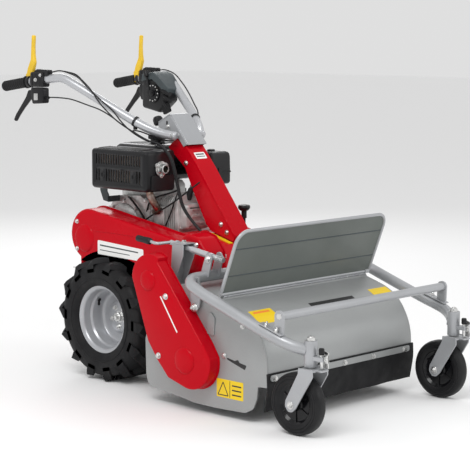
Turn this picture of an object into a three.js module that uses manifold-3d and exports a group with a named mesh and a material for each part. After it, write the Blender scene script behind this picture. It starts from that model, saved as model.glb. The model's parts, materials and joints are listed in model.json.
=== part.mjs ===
// Walk-behind flail mower. Millimetres, +Z up, the machine works towards -Y and its belt side is -X.
// All side outlines are lists of [y, z]; the drive axle is at y = 0 until the whole group is shifted.
import * as THREE from 'three';
import { mergeVertices } from 'three/addons/utils/BufferGeometryUtils.js';
import Module from 'manifold-3d';

const wasm = await Module();
wasm.setup();

// ---- driving dimensions ----
const CENTRE_SHIFT = 284;                 // from the drive axle to the middle of the machine's length
const GAP = 0.4;                          // clearance between pieces that touch

const WHEEL = { z: 206, r: 206, inner: 97, outer: 262, flange: 247 };
const HUB_END = 85.5;                     // inner end of each hub stub
const CRANKSHAFT = { y: 45, z: 508 };
const COUNTERSHAFT = { y: -379, z: 397 };
const ROTOR = { y: -547, z: 164, drum: 45, tip: 112 };
const DECK_HALF = 345;                    // outer faces of the side plates
const PLATE = 5;                          // side plate thickness
const SHEET = 4;                          // hood sheet thickness
const SKID_Z = 25;                        // flat underside of the skids
const SPINE_HALF = 84;                    // chassis width between the wheels
const BLOCK_HALF = 139.5;                 // chassis width ahead of the wheels
const COVER_X = { in: 140, out: 220 };    // drive belt cover
const ROTOR_COVER_X = { in: 345.5, out: 386, boss: 394 };
const COLUMN_HALF = 40;
const HEAD_HALF = 44.5;

const SWIVEL = { x: 344, y: -1001, low: 207, high: 283, r: 19 };
const CASTOR = { y: -955, r: 92.4, tread: 22, hub: 28 };
const FORK_HALF = 36;
const ARM = { x: 392, r: 17 };
const FRAME_PIVOT = { y: -545, z: 325 };
const BAR = { y: -921, z: 348, r: 13, half: 389 };
const DEFLECTOR = { y: -648, z: 375.5, lean: 21, length: 209, half: 350 };
const TUBE_R = 15;
const GRIP = { y: 360, end: 479, r: 17.5 };
const CLUTCH_LEVER = { x: 250, z: 1012, half: 8, lean: 5 };   // each blade leans inwards, in degrees
const CRANK = { x: -288, y: -435, z: 493, slope: 8.6, throw: 48 };

const COLOUR = {
  red: 0xcd0c20, silver: 0xb4b6b8, sheet: 0xa6a8a8, inner: 0x6a706a, zinc: 0xc8c8c4,
  black: 0x18181a, rubber: 0x202022, cast: 0xb8b8b6, yellow: 0xe6c332, steel: 0x8c8c8c,
};

// ---- solids ----
function toSolid(geometry) {
  const plain = geometry.index ? geometry.toNonIndexed() : geometry.clone();
  plain.deleteAttribute('normal');
  plain.deleteAttribute('uv');
  const merged = mergeVertices(plain, 1e-3);
  const vertProperties = Float32Array.from(merged.attributes.position.array);
  const triVerts = Uint32Array.from(merged.index.array);
  return new wasm.Manifold(new wasm.Mesh({ numProp: 3, vertProperties, triVerts }));
}

function toGeometry(solid) {
  const mesh = solid.getMesh();
  const geometry = new THREE.BufferGeometry();
  geometry.setAttribute('position', new THREE.BufferAttribute(Float32Array.from(mesh.vertProperties), 3));
  geometry.setIndex(new THREE.BufferAttribute(Uint32Array.from(mesh.triVerts), 1));
  geometry.computeVertexNormals();
  return geometry;
}

function join(...parts) {
  return toGeometry(parts.map(toSolid).reduce((sum, part) => sum.add(part)));
}

function cut(body, ...tools) {
  return toGeometry(tools.map(toSolid).reduce((rest, tool) => rest.subtract(tool), toSolid(body)));
}

// ---- shapes ----
const asShape = (points) => new THREE.Shape(points.map(([u, v]) => new THREE.Vector2(u, v)));

function extrude(points, depth, holes = []) {
  const shape = asShape(points);
  shape.holes = holes.map((hole) => new THREE.Path(asShape(hole).getPoints()));
  return new THREE.ExtrudeGeometry(shape, { depth, bevelEnabled: false });
}

// outline in [y, z], extruded from x0 to x1
function side(points, x0, x1, holes = []) {
  const geometry = extrude(points, x1 - x0, holes);
  geometry.applyMatrix4(new THREE.Matrix4().set(0, 0, 1, x0, 1, 0, 0, 0, 0, 1, 0, 0, 0, 0, 0, 1));
  return geometry;
}

// outline in [x, y], extruded from z0 to z1
const plan = (points, z0, z1) => extrude(points, z1 - z0).translate(0, 0, z0);

function box(x0, x1, y0, y1, z0, z1) {
  return new THREE.BoxGeometry(x1 - x0, y1 - y0, z1 - z0)
    .translate((x0 + x1) / 2, (y0 + y1) / 2, (z0 + z1) / 2);
}

// round bar between two points
function rod(from, to, radius, sides = 12, endRadius = radius) {
  const a = new THREE.Vector3(...from);
  const b = new THREE.Vector3(...to);
  const direction = b.clone().sub(a);
  const geometry = new THREE.CylinderGeometry(endRadius, radius, direction.length(), sides);
  const turn = new THREE.Quaternion().setFromUnitVectors(new THREE.Vector3(0, 1, 0), direction.normalize());
  return geometry.applyQuaternion(turn).translate(...a.add(b).multiplyScalar(0.5).toArray());
}

const rodX = (x0, x1, y, z, radius, sides = 16) => rod([x0, y, z], [x1, y, z], radius, sides);

// tube swept along a smooth curve through the points
function sweep(points, radius, steps, sides = 8) {
  const curve = new THREE.CatmullRomCurve3(points.map((p) => new THREE.Vector3(...p)), false, 'centripetal');
  const section = arc(0, 0, radius, 0, 360 - 360 / sides, sides - 1);
  return new THREE.ExtrudeGeometry(asShape(section), { steps, extrudePath: curve });
}

function arc(cu, cv, radius, fromDeg, toDeg, steps) {
  return Array.from({ length: steps + 1 }, (_, i) => {
    const angle = THREE.MathUtils.degToRad(fromDeg + ((toDeg - fromDeg) * i) / steps);
    return [cu + radius * Math.cos(angle), cv + radius * Math.sin(angle)];
  });
}

// outline around two circles, as a belt runs round two pulleys
function loop([y0, z0, r0], [y1, z1, r1], steps = 8) {
  const base = THREE.MathUtils.radToDeg(Math.atan2(z1 - z0, y1 - y0));
  const tilt = THREE.MathUtils.radToDeg(Math.acos((r0 - r1) / Math.hypot(y1 - y0, z1 - z0)));
  return [
    ...arc(y0, z0, r0, base + tilt, base + 360 - tilt, steps),
    ...arc(y1, z1, r1, base - tilt, base + tilt, steps),
  ];
}

// closed strip of a given thickness on the right-hand side of an open outline
function strip(points, thickness) {
  const normals = points.slice(1).map(([u, v], i) => {
    const [pu, pv] = points[i];
    const length = Math.hypot(u - pu, v - pv);
    return [(v - pv) / length, -(u - pu) / length];
  });
  const inner = points.map(([u, v], i) => {
    const before = normals[Math.max(i - 1, 0)];
    const after = normals[Math.min(i, normals.length - 1)];
    const mitre = [before[0] + after[0], before[1] + after[1]];
    const scale = (2 * thickness) / (mitre[0] ** 2 + mitre[1] ** 2);
    return [u + mitre[0] * scale, v + mitre[1] * scale];
  });
  return [...points, ...inner.reverse()];
}

// turned piece about an X axis through (y, z); profile points are [radius, distance outwards]
function turned(profile, y, z, sign, segments = 20) {
  const geometry = new THREE.LatheGeometry(profile.map(([r, h]) => new THREE.Vector2(r, h)), segments);
  return geometry.rotateZ(-sign * Math.PI / 2).translate(0, y, z);
}

const mirrored = (points) => points.map(([x, y, z]) => [-x, y, z]);

// ---- scene ----
const mower = new THREE.Group();
mower.name = 'mower';

function add(name, geometry, color, roughness = 0.5, metalness = 0.1) {
  const mesh = new THREE.Mesh(geometry, new THREE.MeshStandardMaterial({ color, roughness, metalness }));
  mesh.name = name;
  mower.add(mesh);
}

// ---- chassis ----
function mainFrame() {
  const spine = box(-SPINE_HALF, SPINE_HALF, -230, 165, 331, 401.5);
  const outline = [[-216, 331], [-216, 480], [-250, 507], [-304, 507], [-412, 478], [-468, 420], [-468, 394],
    [-448, 394], [-390, 345], [-360, 331]];
  const hollow = [[-221, 320], [-221, 477], [-252, 501], [-303, 501], [-409, 473], [-462, 417], [-462, 380],
    [-440, 320]];
  const block = cut(side(outline, -BLOCK_HALF, BLOCK_HALF), side(hollow, -BLOCK_HALF + 5, BLOCK_HALF - 5));
  const shaftHole = rodX(-150, -100, COUNTERSHAFT.y, COUNTERSHAFT.z, 14);
  const selectorHole = rod([90, -330, 480], [90, -330, 520], 6);
  return cut(join(cut(spine, box(-78, 78, -240, 150, 320, 395)), block), shaftHole, selectorHole);
}
add('main_frame', mainFrame(), COLOUR.red, 0.3);

add('transaxle', join(
  box(-70, 70, -85, 85, 140, 330.5),
  rodX(-85, 85, 0, WHEEL.z, 42),
), COLOUR.black, 0.5, 0.4);

add('rear_bracket', join(
  box(-110, -40, 170, 300, 334, 340),
  box(-83, -45, 165.4, 171, 334, 385),
), COLOUR.zinc, 0.4, 0.7);

// ---- first belt drive: crankshaft to countershaft ----
const ARCH_GAP = 8;
function coverOutline(wall) {
  const arch = arc(0, WHEEL.z, WHEEL.r + ARCH_GAP + wall, 148, 50, 8);
  return [
    ...arc(98, 478, 88 - wall, -62, 98, 10),
    [-352 - wall * 0.1, 530 - wall],
    [-425 + wall * 0.6, 512 - wall],
    [-462 + wall, 470],
    [-462 + wall, 402],
    [-448 + wall * 0.4, 386 + wall],
    [-398, 330 + wall],
    [-380, 322 + wall],
    [-300, 322 + wall],
    ...arch,
  ];
}
add('drive_belt_cover', cut(
  side(coverOutline(0), -COVER_X.out, -COVER_X.in),
  side(coverOutline(3), -COVER_X.out + 3, -COVER_X.in + 5),
  rodX(-230, -200, COUNTERSHAFT.y, COUNTERSHAFT.z, 24),
), COLOUR.red, 0.25);

const FIRST_PULLEY_R = 38;
const FIRST_DRIVEN_R = 42;
const BELT = 6;
const BELT_GAP = 1.5;
const beltRing = (a, b, x0, x1) => side(
  loop([a[0], a[1], a[2] + BELT], [b[0], b[1], b[2] + BELT]), x0, x1,
  [loop([a[0], a[1], a[2] + BELT_GAP], [b[0], b[1], b[2] + BELT_GAP])],
);
add('drive_belt', beltRing([CRANKSHAFT.y, CRANKSHAFT.z, FIRST_PULLEY_R],
  [COUNTERSHAFT.y, COUNTERSHAFT.z, FIRST_DRIVEN_R], -195, -179), COLOUR.rubber, 0.8);
add('engine_pulley', join(
  rodX(-198, -176, CRANKSHAFT.y, CRANKSHAFT.z, FIRST_PULLEY_R, 20),
  rodX(-180, -101, CRANKSHAFT.y, CRANKSHAFT.z, 12.5),
), COLOUR.steel, 0.4, 0.9);

// ---- second belt drive: countershaft to rotor ----
const SECOND_R = 42;
add('countershaft', join(
  rodX(-198, -176, COUNTERSHAFT.y, COUNTERSHAFT.z, FIRST_DRIVEN_R, 20),
  rodX(-380, -110, COUNTERSHAFT.y, COUNTERSHAFT.z, 12.5),
  rodX(-378, -356, COUNTERSHAFT.y, COUNTERSHAFT.z, SECOND_R, 20),
), COLOUR.steel, 0.4, 0.9);
add('rotor_belt', beltRing([COUNTERSHAFT.y, COUNTERSHAFT.z, SECOND_R],
  [ROTOR.y, ROTOR.z, SECOND_R], -376, -360), COLOUR.rubber, 0.8);

function rotorCoverOutline(wall) {
  return [
    ...arc(-376, 396, 79 - wall, 0, 118, 7),
    [-412 + wall * 0.4, 455 - wall * 0.6],
    [-610 + wall, 221],
    ...arc(ROTOR.y - 4, ROTOR.z, 87 - wall, 168, 290, 8),
    [-458 - wall, 100 + wall * 0.6],
    [-410 - wall, 149],
    [-369 - wall, 203],
  ];
}
function rotorBeltCover() {
  const shell = cut(
    side(rotorCoverOutline(0), -ROTOR_COVER_X.out, -ROTOR_COVER_X.in),
    side(rotorCoverOutline(3), -ROTOR_COVER_X.out + 3, -ROTOR_COVER_X.in + 5),
  );
  const boss = (y, z, r) => rod([-ROTOR_COVER_X.out + 1, y, z], [-ROTOR_COVER_X.boss, y, z], r, 20, r - 8);
  return join(shell, boss(COUNTERSHAFT.y, COUNTERSHAFT.z, 34), boss(ROTOR.y, ROTOR.z, 40));
}
add('rotor_belt_cover', rotorBeltCover(), COLOUR.red, 0.25);

// ---- rotor: drum with a spiral of Y flails, shaft and pulley ----
function rotor() {
  const drum = cut(
    rodX(-318, 318, ROTOR.y, ROTOR.z, ROTOR.drum, 14),
    rodX(-310, 310, ROTOR.y, ROTOR.z, ROTOR.drum - 6, 14),
    rod([200, ROTOR.y, ROTOR.z - 60], [200, ROTOR.y, ROTOR.z + 60], 8, 8),
  );
  const flails = Array.from({ length: 14 }, (_, i) => {
    const flail = box(-5, 5, -16, 16, ROTOR.drum - 4, ROTOR.tip);
    return flail.rotateX((i * 2 * Math.PI) / 3.5).translate(-295 + (i * 590) / 13, ROTOR.y, ROTOR.z);
  });
  return join(
    drum,
    ...flails,
    rodX(-380, -315, ROTOR.y, ROTOR.z, 14),
    rodX(315, 352, ROTOR.y, ROTOR.z, 14),
    rodX(-378, -356, ROTOR.y, ROTOR.z, SECOND_R, 20),
  );
}
add('rotor', rotor(), COLOUR.steel, 0.5, 0.7);

// ---- deck ----
const HOOD = [[-315, 112], [-315, 205], [-385, 306], [-455, 387], [-640, 371], [-648, 358], [-690, 346],
  [-730, 332], [-768, 310], [-798, 276], [-824, 227], [-833, 185], [-833, 122]];
const HOOD_HALF = DECK_HALF - PLATE - GAP;
add('deck_hood', side(strip(HOOD, -SHEET), -HOOD_HALF, HOOD_HALF), COLOUR.sheet, 0.4, 0.6);

function sidePlate(sign) {
  const outline = [...HOOD.slice(1, -1), [-833, 116], [-797, 114], [-793, 80], [-777, 45], [-745, 28],
    [-716, SKID_Z], [-620, SKID_Z], [-535, 26], [-469, 35], [-380, 43], [-345, 46], [-325, 60], [-318, 90]];
  const inner = sign * (DECK_HALF - PLATE);
  const outer = sign * DECK_HALF;
  const plate = side(outline, Math.min(inner, outer), Math.max(inner, outer));
  const pin = rodX(sign * (DECK_HALF - 1), sign * (DECK_HALF + 17), FRAME_PIVOT.y, FRAME_PIVOT.z, 8, 12);
  return cut(join(plate, pin), rodX(sign * 330, sign * 360, ROTOR.y, ROTOR.z, 16));
}
add('side_plate_right', sidePlate(-1), COLOUR.sheet, 0.4, 0.6);
add('side_plate_left', sidePlate(1), COLOUR.sheet, 0.4, 0.6);

const FLAP_LINE = [[-834, 160], [-839, 160], [-839, 116], [-827, 45], [-822, 45], [-834, 112]];
const FLAP_BAR_LINE = [[-839.5, 158], [-844.5, 158], [-844.5, 134], [-839.5, 134]];
add('rubber_flap', side(FLAP_LINE, -349, 349), COLOUR.rubber, 0.9);
add('flap_bar', side(FLAP_BAR_LINE, -338, 338), COLOUR.zinc, 0.4, 0.8);

// ---- deflector plate, shown raised; its hinge line lies along X ----
function deflector() {
  const { length, half, lean, y, z } = DEFLECTOR;
  const corner = 42;
  const outline = [
    [-half, 0], [half, 0],
    ...arc(half - corner, length - corner, corner, 0, 90, 5),
    ...arc(-half + corner, length - corner, corner, 90, 180, 5),
  ];
  const plate = plan(outline, -2, 2).rotateX(THREE.MathUtils.degToRad(90 + lean));
  return join(plate, rodX(-half, half, 0, 0, 5, 10)).translate(0, y, z);
}
add('deflector', deflector(), COLOUR.inner, 0.45, 0.5);

// ---- castor frame: one bent tube with sleeves, pivot plates, lock blocks and screw lugs ----
const ARM_ROUTE = [[-352, -988, 255], [-374, -962, 265], [-388, -930, 277], [-ARM.x, -890, 289],
  [-ARM.x, -850, 301], [-ARM.x, -720, 344], [-ARM.x, -600, 385], [-384, -556, 402], [-358, -536, 411],
  [-312, -532, 413], [-150, -532, 413]];
const LUG_LINE = [[-515, 412], [-552, 412], [-566, 470], [-558, 486], [-543, 486], [-536, 470]];
const LUG_OFFSETS = [-16.5, 30];          // inner and outer lug from the crank's axis
const LUG_THICKNESS = 6;
function castorFrame() {
  const route = [...ARM_ROUTE, [0, -532, 413], ...mirrored(ARM_ROUTE).reverse()];
  const pieces = [sweep(route, ARM.r, 40, 8)];
  const holes = [];
  for (const sign of [-1, 1]) {
    const x = sign * SWIVEL.x;
    pieces.push(rod([x, SWIVEL.y, SWIVEL.low], [x, SWIVEL.y, SWIVEL.high], SWIVEL.r, 12));
    pieces.push(box(x - 10, x + 10, -1053, -1012, 228, 240));
    holes.push(rod([x, SWIVEL.y, 190], [x, SWIVEL.y, 300], 10.4, 10));
    holes.push(rod([x, -1041, 220], [x, -1041, 250], 5.5, 8));
    const plate = [[-524, 420], [-562, 418], ...arc(FRAME_PIVOT.y, FRAME_PIVOT.z, 16, 190, 350, 5)];
    pieces.push(side(plate, Math.min(sign * 350.5, sign * 357), Math.max(sign * 350.5, sign * 357)));
    holes.push(rodX(sign * 348, sign * 364, FRAME_PIVOT.y, FRAME_PIVOT.z, 8.4, 12));
  }
  for (const offset of LUG_OFFSETS) {
    pieces.push(side(LUG_LINE, CRANK.x + offset, CRANK.x + offset + LUG_THICKNESS));
  }
  return cut(join(...pieces), ...holes);
}
add('castor_frame', castorFrame(), COLOUR.silver, 0.4, 0.6);

function frontBar() {
  const upright = [[-937, 295], [-903, 305], ...arc(BAR.y, BAR.z, 17, 0, 180, 8)];
  const foot = [[-937, 293.6], [-850, 319.7], [-850, 324], [-937, 298]];
  const pieces = [rodX(-BAR.half, BAR.half, BAR.y, BAR.z, BAR.r, 16)];
  for (const sign of [-1, 1]) {
    pieces.push(side(upright, Math.min(sign * 386, sign * 392), Math.max(sign * 386, sign * 392)));
    pieces.push(side(foot, Math.min(sign * 378, sign * 404), Math.max(sign * 378, sign * 404)));
  }
  return join(...pieces);
}
add('front_bar', frontBar(), COLOUR.silver, 0.4, 0.6);

// ---- castors ----
function fork(x) {
  const hubArc = arc(CASTOR.y, CASTOR.r, 22, 215, 385, 7);
  const leg = [[-984, 203], [-1036, 203], [-1036, 182], ...hubArc, [-982, 186]];
  const crown = 203.5;
  return join(
    side(leg, x - FORK_HALF, x - FORK_HALF + 5),
    side(leg, x + FORK_HALF - 5, x + FORK_HALF),
    box(x - FORK_HALF, x + FORK_HALF, -1036, -984, crown - 5, crown),
    box(x - 16, x + 16, -1056, -1030, crown - 5, crown),
    rod([x, SWIVEL.y, crown - 2], [x, SWIVEL.y, SWIVEL.high + 10], 9.7, 10),
    rod([x, SWIVEL.y, SWIVEL.high + 0.6], [x, SWIVEL.y, SWIVEL.high + 12], 14, 6),
    rodX(x - FORK_HALF - 4, x + FORK_HALF + 4, CASTOR.y, CASTOR.r, 6, 12),
  );
}
function castorWheel(x) {
  const { r, tread, hub } = CASTOR;
  const profile = [[6.6, -hub], [18, -hub], [19, -14], [60, -14], [r - 8, -tread], [r, -tread + 8],
    [r, tread - 8], [r - 8, tread], [60, 14], [19, 14], [18, hub], [6.6, hub], [6.6, -hub]];
  return turned(profile, CASTOR.y, r, 1).translate(x, 0, 0);
}
function lockPin(x) {
  return join(
    rod([x, -1041, 206], [x, -1041, 252], 5, 8),
    rod([x, -1041, 244], [x, -1041, 266], 9, 12),
  );
}
for (const [name, sign] of [['right', -1], ['left', 1]]) {
  add(`castor_fork_${name}`, fork(sign * SWIVEL.x), COLOUR.silver, 0.4, 0.6);
  add(`castor_wheel_${name}`, castorWheel(sign * SWIVEL.x), COLOUR.rubber, 0.8);
  add(`lock_pin_${name}`, lockPin(sign * SWIVEL.x), COLOUR.zinc, 0.4, 0.7);
}

// ---- cutting height crank ----
function crankBracket() {
  const flange = [[-404, 503], [-452, 503], [-452, 470], [-424, 405], [-414, 352], [-392, 340]];
  const web = [[-404, 503], [-410, 503], [-398, 340], [-392, 340]];
  const screwHole = rod([CRANK.x, -380, 501], [CRANK.x, -470, 487.7], 10, 12);
  return cut(join(side(flange, CRANK.x - 26, CRANK.x - 22), side(flange, CRANK.x + 22, CRANK.x + 26),
    side(web, CRANK.x - 25, CRANK.x + 25), box(CRANK.x - 26, CRANK.x + 26, -452, -404, 503, 507)), screwHole);
}
add('crank_bracket', crankBracket(), COLOUR.silver, 0.4, 0.6);

const CRANK_RISE = Math.tan(THREE.MathUtils.degToRad(CRANK.slope));
const screwPoint = (y) => [CRANK.x, y, CRANK.z + (y - CRANK.y) * CRANK_RISE];
function heightCrank() {
  const rear = screwPoint(-372);
  const arm = [rear[0] - CRANK.throw, rear[1] + 4, rear[2]];
  return join(
    rod(rear, screwPoint(-600), 8, 12),
    rod(screwPoint(-534), screwPoint(-566), 10, 12),
    sweep([rear, [rear[0] - 24, rear[1] + 2, rear[2]], arm, [arm[0], arm[1] + 40, arm[2] + 4]], 5, 10, 8),
    rod([arm[0], arm[1] + 38, arm[2] + 4], [arm[0], arm[1] + 98, arm[2] + 12], 10.5, 12),
  );
}
add('height_crank', heightCrank(), COLOUR.zinc, 0.4, 0.7);

// ---- drive wheels ----
function rim(sign) {
  const profile = [[0, HUB_END], [17, HUB_END], [17, 140], [90, 140], [98, 112], [117, 108], [117, 113],
    [103, 118], [103, 236], [117, 242], [117, WHEEL.flange], [98, 238], [94, 158], [50, 150], [44, 168],
    [13, 170], [12, 182], [0, 182]];
  return turned(profile, 0, WHEEL.z, sign);
}
function tyre(sign) {
  const { r, inner, outer } = WHEEL;
  const profile = [[118, 114], [118, 103], [160, inner], [198, 104], [r, 124], [r, 235], [198, 255],
    [160, outer], [121, 256], [118, 241.5], [103.5, 235.5], [103.5, 231], [150, 246], [186, 246], [191, 180],
    [186, 112], [150, 113], [103.5, 128], [103.5, 119], [118, 114]];
  return turned(profile, 0, WHEEL.z, sign);
}
for (const [name, sign] of [['right', -1], ['left', 1]]) {
  add(`rim_${name}`, rim(sign), COLOUR.silver, 0.4, 0.7);
  add(`tyre_${name}`, tyre(sign), COLOUR.rubber, 0.9);
}

// ---- engine ----
function crankcase() {
  return join(
    box(-100, 85, -75, 122, 402, 600),
    box(-88, 60, -200, -70, 440, 622),
    box(-84, 30, -236, -195, 508, 596),
    box(-60, 85, -60, 100, 590, 654.5),
  );
}
add('crankcase', crankcase(), COLOUR.cast, 0.5, 0.7);

function shroud() {
  const outline = [...arc(CRANKSHAFT.y, CRANKSHAFT.z, 104, -55, 235, 12)];
  const shell = cut(side(outline, 85.5, 142), box(80, 150, -100, 200, 380, 421.5));
  const starter = cut(rodX(141, 186, CRANKSHAFT.y, CRANKSHAFT.z, 84, 20), box(150, 200, 30, 60, 560, 600));
  return cut(join(shell, starter), box(120, 200, 34, 56, 548, 620));
}
add('engine_shroud', shroud(), COLOUR.black, 0.4);
add('recoil_handle', join(
  rod([170, CRANKSHAFT.y, 560], [170, CRANKSHAFT.y, 606], 5, 8),
  box(150, 190, CRANKSHAFT.y - 8, CRANKSHAFT.y + 8, 598, 614),
), COLOUR.black, 0.5);

add('fuel_tank', join(
  box(-52, 176, -58, 172, 655, 778),
  rod([70, 60, 770], [70, 60, 788], 24, 16),
), COLOUR.black, 0.15);
add('fuel_cap', rod([70, 60, 788.4], [70, 60, 806], 30, 20), COLOUR.black, 0.4);

function mufflerGuard() {
  const outline = [[-204, 636], [-204, 748], [-190, 766], [-78, 772], [-78, 755], [-78, 636]];
  const inner = [[-201, 630], [-201, 747], [-188, 762], [-70, 768], [-70, 630]];
  const acrossY = (points, y0, y1) => {
    const geometry = extrude(points, y1 - y0);
    geometry.applyMatrix4(new THREE.Matrix4().set(1, 0, 0, 0, 0, 0, -1, y1, 0, 1, 0, 0, 0, 0, 0, 1));
    return geometry;
  };
  const outletHole = rod([-140, -180, 712], [-140, -150, 712], 17, 12);
  return cut(acrossY(outline, -172, 100), acrossY(inner, -169, 97), outletHole);
}
add('muffler_guard', mufflerGuard(), COLOUR.black, 0.4);

function muffler() {
  const can = join(box(-192, -90, -160, 90, 648, 754), rod([-140, -155, 712], [-140, -196, 712], 15, 12));
  const hollow = join(box(-189, -93, -157, 87, 651, 751), rod([-140, -150, 712], [-140, -200, 712], 11, 12));
  const pipeRoute = [[-135, -110, 650], [-130, -112, 622], [-118, -118, 594], [-107, -122, 574],
    [-96, -124, 566]];
  return join(cut(can, hollow), sweep(pipeRoute, 12, 9, 8));
}
add('muffler', muffler(), COLOUR.cast, 0.4, 0.8);
add('air_filter', box(72, 168, -198, -98, 646, 755), COLOUR.black, 0.4);

// ---- steering column and head ----
function column() {
  const outline = [[-104, 775], [-146, 807], [-166, 790], [-189, 782], [-247, 714], [-411, 503],
    [-405, 482.5], [-303, 510.5], [-281, 532], [-214, 649], [-184, 710]];
  const inner = [[-90, 770], [-146, 795], [-166, 779], [-187, 778], [-243, 712], [-407, 502], [-400, 470],
    [-290, 500], [-200, 649], [-170, 700]];
  return cut(side(outline, -COLUMN_HALF, COLUMN_HALF), side(inner, -COLUMN_HALF + 3, COLUMN_HALF - 3));
}
add('steering_column', column(), COLOUR.red, 0.25);

function head() {
  const outline = [[-62, 852], [-119, 883], [-199, 787], [-181, 779], [-156, 807], [-64, 826]];
  const inner = [[-50, 860], [-119, 878], [-194, 786], [-192, 760], [-40, 760], [-40, 850]];
  const hollow = side(inner, -COLUMN_HALF - GAP, COLUMN_HALF + GAP);
  const shell = cut(side(outline, -HEAD_HALF, HEAD_HALF), hollow);
  const bolt = rodX(-82, 82, -154, 816, 7.5, 10);
  const web = box(-HEAD_HALF + 1, HEAD_HALF - 1, -92, -72, 834, 838);
  return join(shell, bolt, web);
}
add('column_head', head(), COLOUR.silver, 0.35, 0.7);
add('lock_knob', join(
  rod([0, -20, 842], [0, -10, 872], 14, 12),
  rod([0, -71, 845], [0, -20, 850], 5, 8),
), COLOUR.black, 0.5);

add('selector_knob', join(
  rod([90, -330, 470], [90, -330, 572], 5.4, 10),
  rod([90, -330, 540], [90, -330, 574], 9, 12),
  rod([90, -330, 572], [90, -330, 590], 20, 16, 17),
), COLOUR.black, 0.5);

// ---- handlebar: right side modelled, left side mirrored ----
const BAR_ROUTE = [[-62, -160, 814], [-66, -146, 816], [-86, -127, 822], [-116, -92, 838], [-148, -36, 870],
  [-190, 60, 927], [-228, 152, 980], [-240, 196, 999], [-247, 240, 997], [-251, 300, 990], [-256, 380, 980],
  [-259, 470, 967]];
function barRoute(sign, extra) {
  const [x, y, z] = BAR_ROUTE.at(-1);
  const route = [...BAR_ROUTE.slice(0, -1), [x, y + extra, z]];
  return sign < 0 ? route : mirrored(route);
}
const barTube = (sign, radius, extra = 0) => sweep(barRoute(sign, extra), radius, 26, 8);
function gripRoute(sign) {
  return [[sign * 255, GRIP.y, 983], [sign * 257, 420, 974.5], [sign * 260, GRIP.end + 6, 964.5]];
}

function leverHousing(sign) {
  const x = sign * 252;
  const body = join(
    side([[262, 1018], [262, 912], [322, 912], [328, 940], [328, 1018]], x - 17, x + 17),
    side([[250, 1026], [250, 1004], [300, 1004], [300, 1026]], x - 12, x + 12),
  );
  return cut(body, barTube(sign, TUBE_R + 0.5));
}
function clutchLever(sign) {
  const { x, z, half, lean } = CLUTCH_LEVER;
  const outline = [[338, 1142], [349, 1142], [345, 1060], [360, 1030], [364, z], [352, 1004], [334, z],
    [325, 1050]];
  const turn = THREE.MathUtils.degToRad(-sign * lean);
  return side(outline, -half, half).translate(0, 0, -z).rotateY(turn).translate(sign * x, 0, z);
}
function brakeLever(sign) {
  const x = sign * 254;
  return side([[333, 949], [352, 952], [362, 932], [392, 902], [428, 856], [420, 850], [380, 888], [344, 920],
    [330, 930]], x - 6, x + 6);
}
for (const [name, sign] of [['right', -1], ['left', 1]]) {
  const tube = cut(barTube(sign, TUBE_R), rodX(sign * 40, sign * 90, -154, 816, 8, 10));
  add(`handlebar_${name}`, tube, COLOUR.silver, 0.35, 0.6);
  const grip = cut(sweep(gripRoute(sign), GRIP.r, 5, 12), barTube(sign, TUBE_R + 0.4, 2));
  add(`grip_${name}`, grip, COLOUR.rubber, 0.8);
  add(`lever_housing_${name}`, leverHousing(sign), COLOUR.black, 0.4);
  add(`clutch_lever_${name}`, clutchLever(sign), COLOUR.yellow, 0.4);
  add(`brake_lever_${name}`, brakeLever(sign), COLOUR.black, 0.4);
}

function controlBox() {
  const body = side([[255, 985], [225, 1000], [96, 925], [96, 912], [150, 870], [248, 888]], 160, 206);
  return cut(body, barTube(1, TUBE_R + 1));
}
add('control_box', controlBox(), COLOUR.black, 0.4);
add('speed_lever', join(
  rod([153, 190, 940], [151, 205, 1000], 4, 8),
  rod([150, 204, 996], [150, 207, 1016], 8, 10),
  rodX(148, 159.5, 190, 940, 10, 12),
), COLOUR.black, 0.5);

// ---- control cables ----
const CABLES = {
  clutch_cable_right: [[-248, 249, 1016], [-246, 201, 1024], [-238, 166, 1017], [-228, 131, 1003],
    [-224, 94, 976], [-215, 50, 941], [-188, 4, 895], [-170, -30, 864]],
  throttle_cable: [[-230, 190, 1024], [-222, 148, 1012], [-216, 118, 990], [-213, 86, 965], [-209, 46, 921],
    [-198, 14, 889], [-184, -14, 863]],
  brake_cable_right: [[-248, 261.6, 934], [-246, 203, 934], [-234, 160, 930], [-214, 104, 913],
    [-190, 62, 896], [-168, 20, 872], [-150, -16, 846]],
  clutch_cable_left: [[248, 249, 1016], [250, 214, 1020], [246, 160, 1008], [226, 98, 977], [202, 40, 942],
    [187, 0, 908], [176, -28, 883]],
};
for (const [name, route] of Object.entries(CABLES)) {
  add(name, sweep(route, 3, 12, 6), COLOUR.black, 0.6);
}
const LOOM = [[-152, -50, 829], [-141, -104, 803], [-131, -160, 788], [-124, -200, 752], [-118, -216, 703],
  [-114, -233, 632], [-110, -250, 585], [-104, -310, 525], [-101, -338, 506]];
add('cable_loom', sweep(LOOM, 6, 18, 6), COLOUR.black, 0.6);

mower.position.y = CENTRE_SHIFT;

export default mower;
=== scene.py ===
import json
import math

import bmesh
import bpy
from mathutils import Matrix, Vector
from mathutils.geometry import tessellate_polygon


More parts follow.
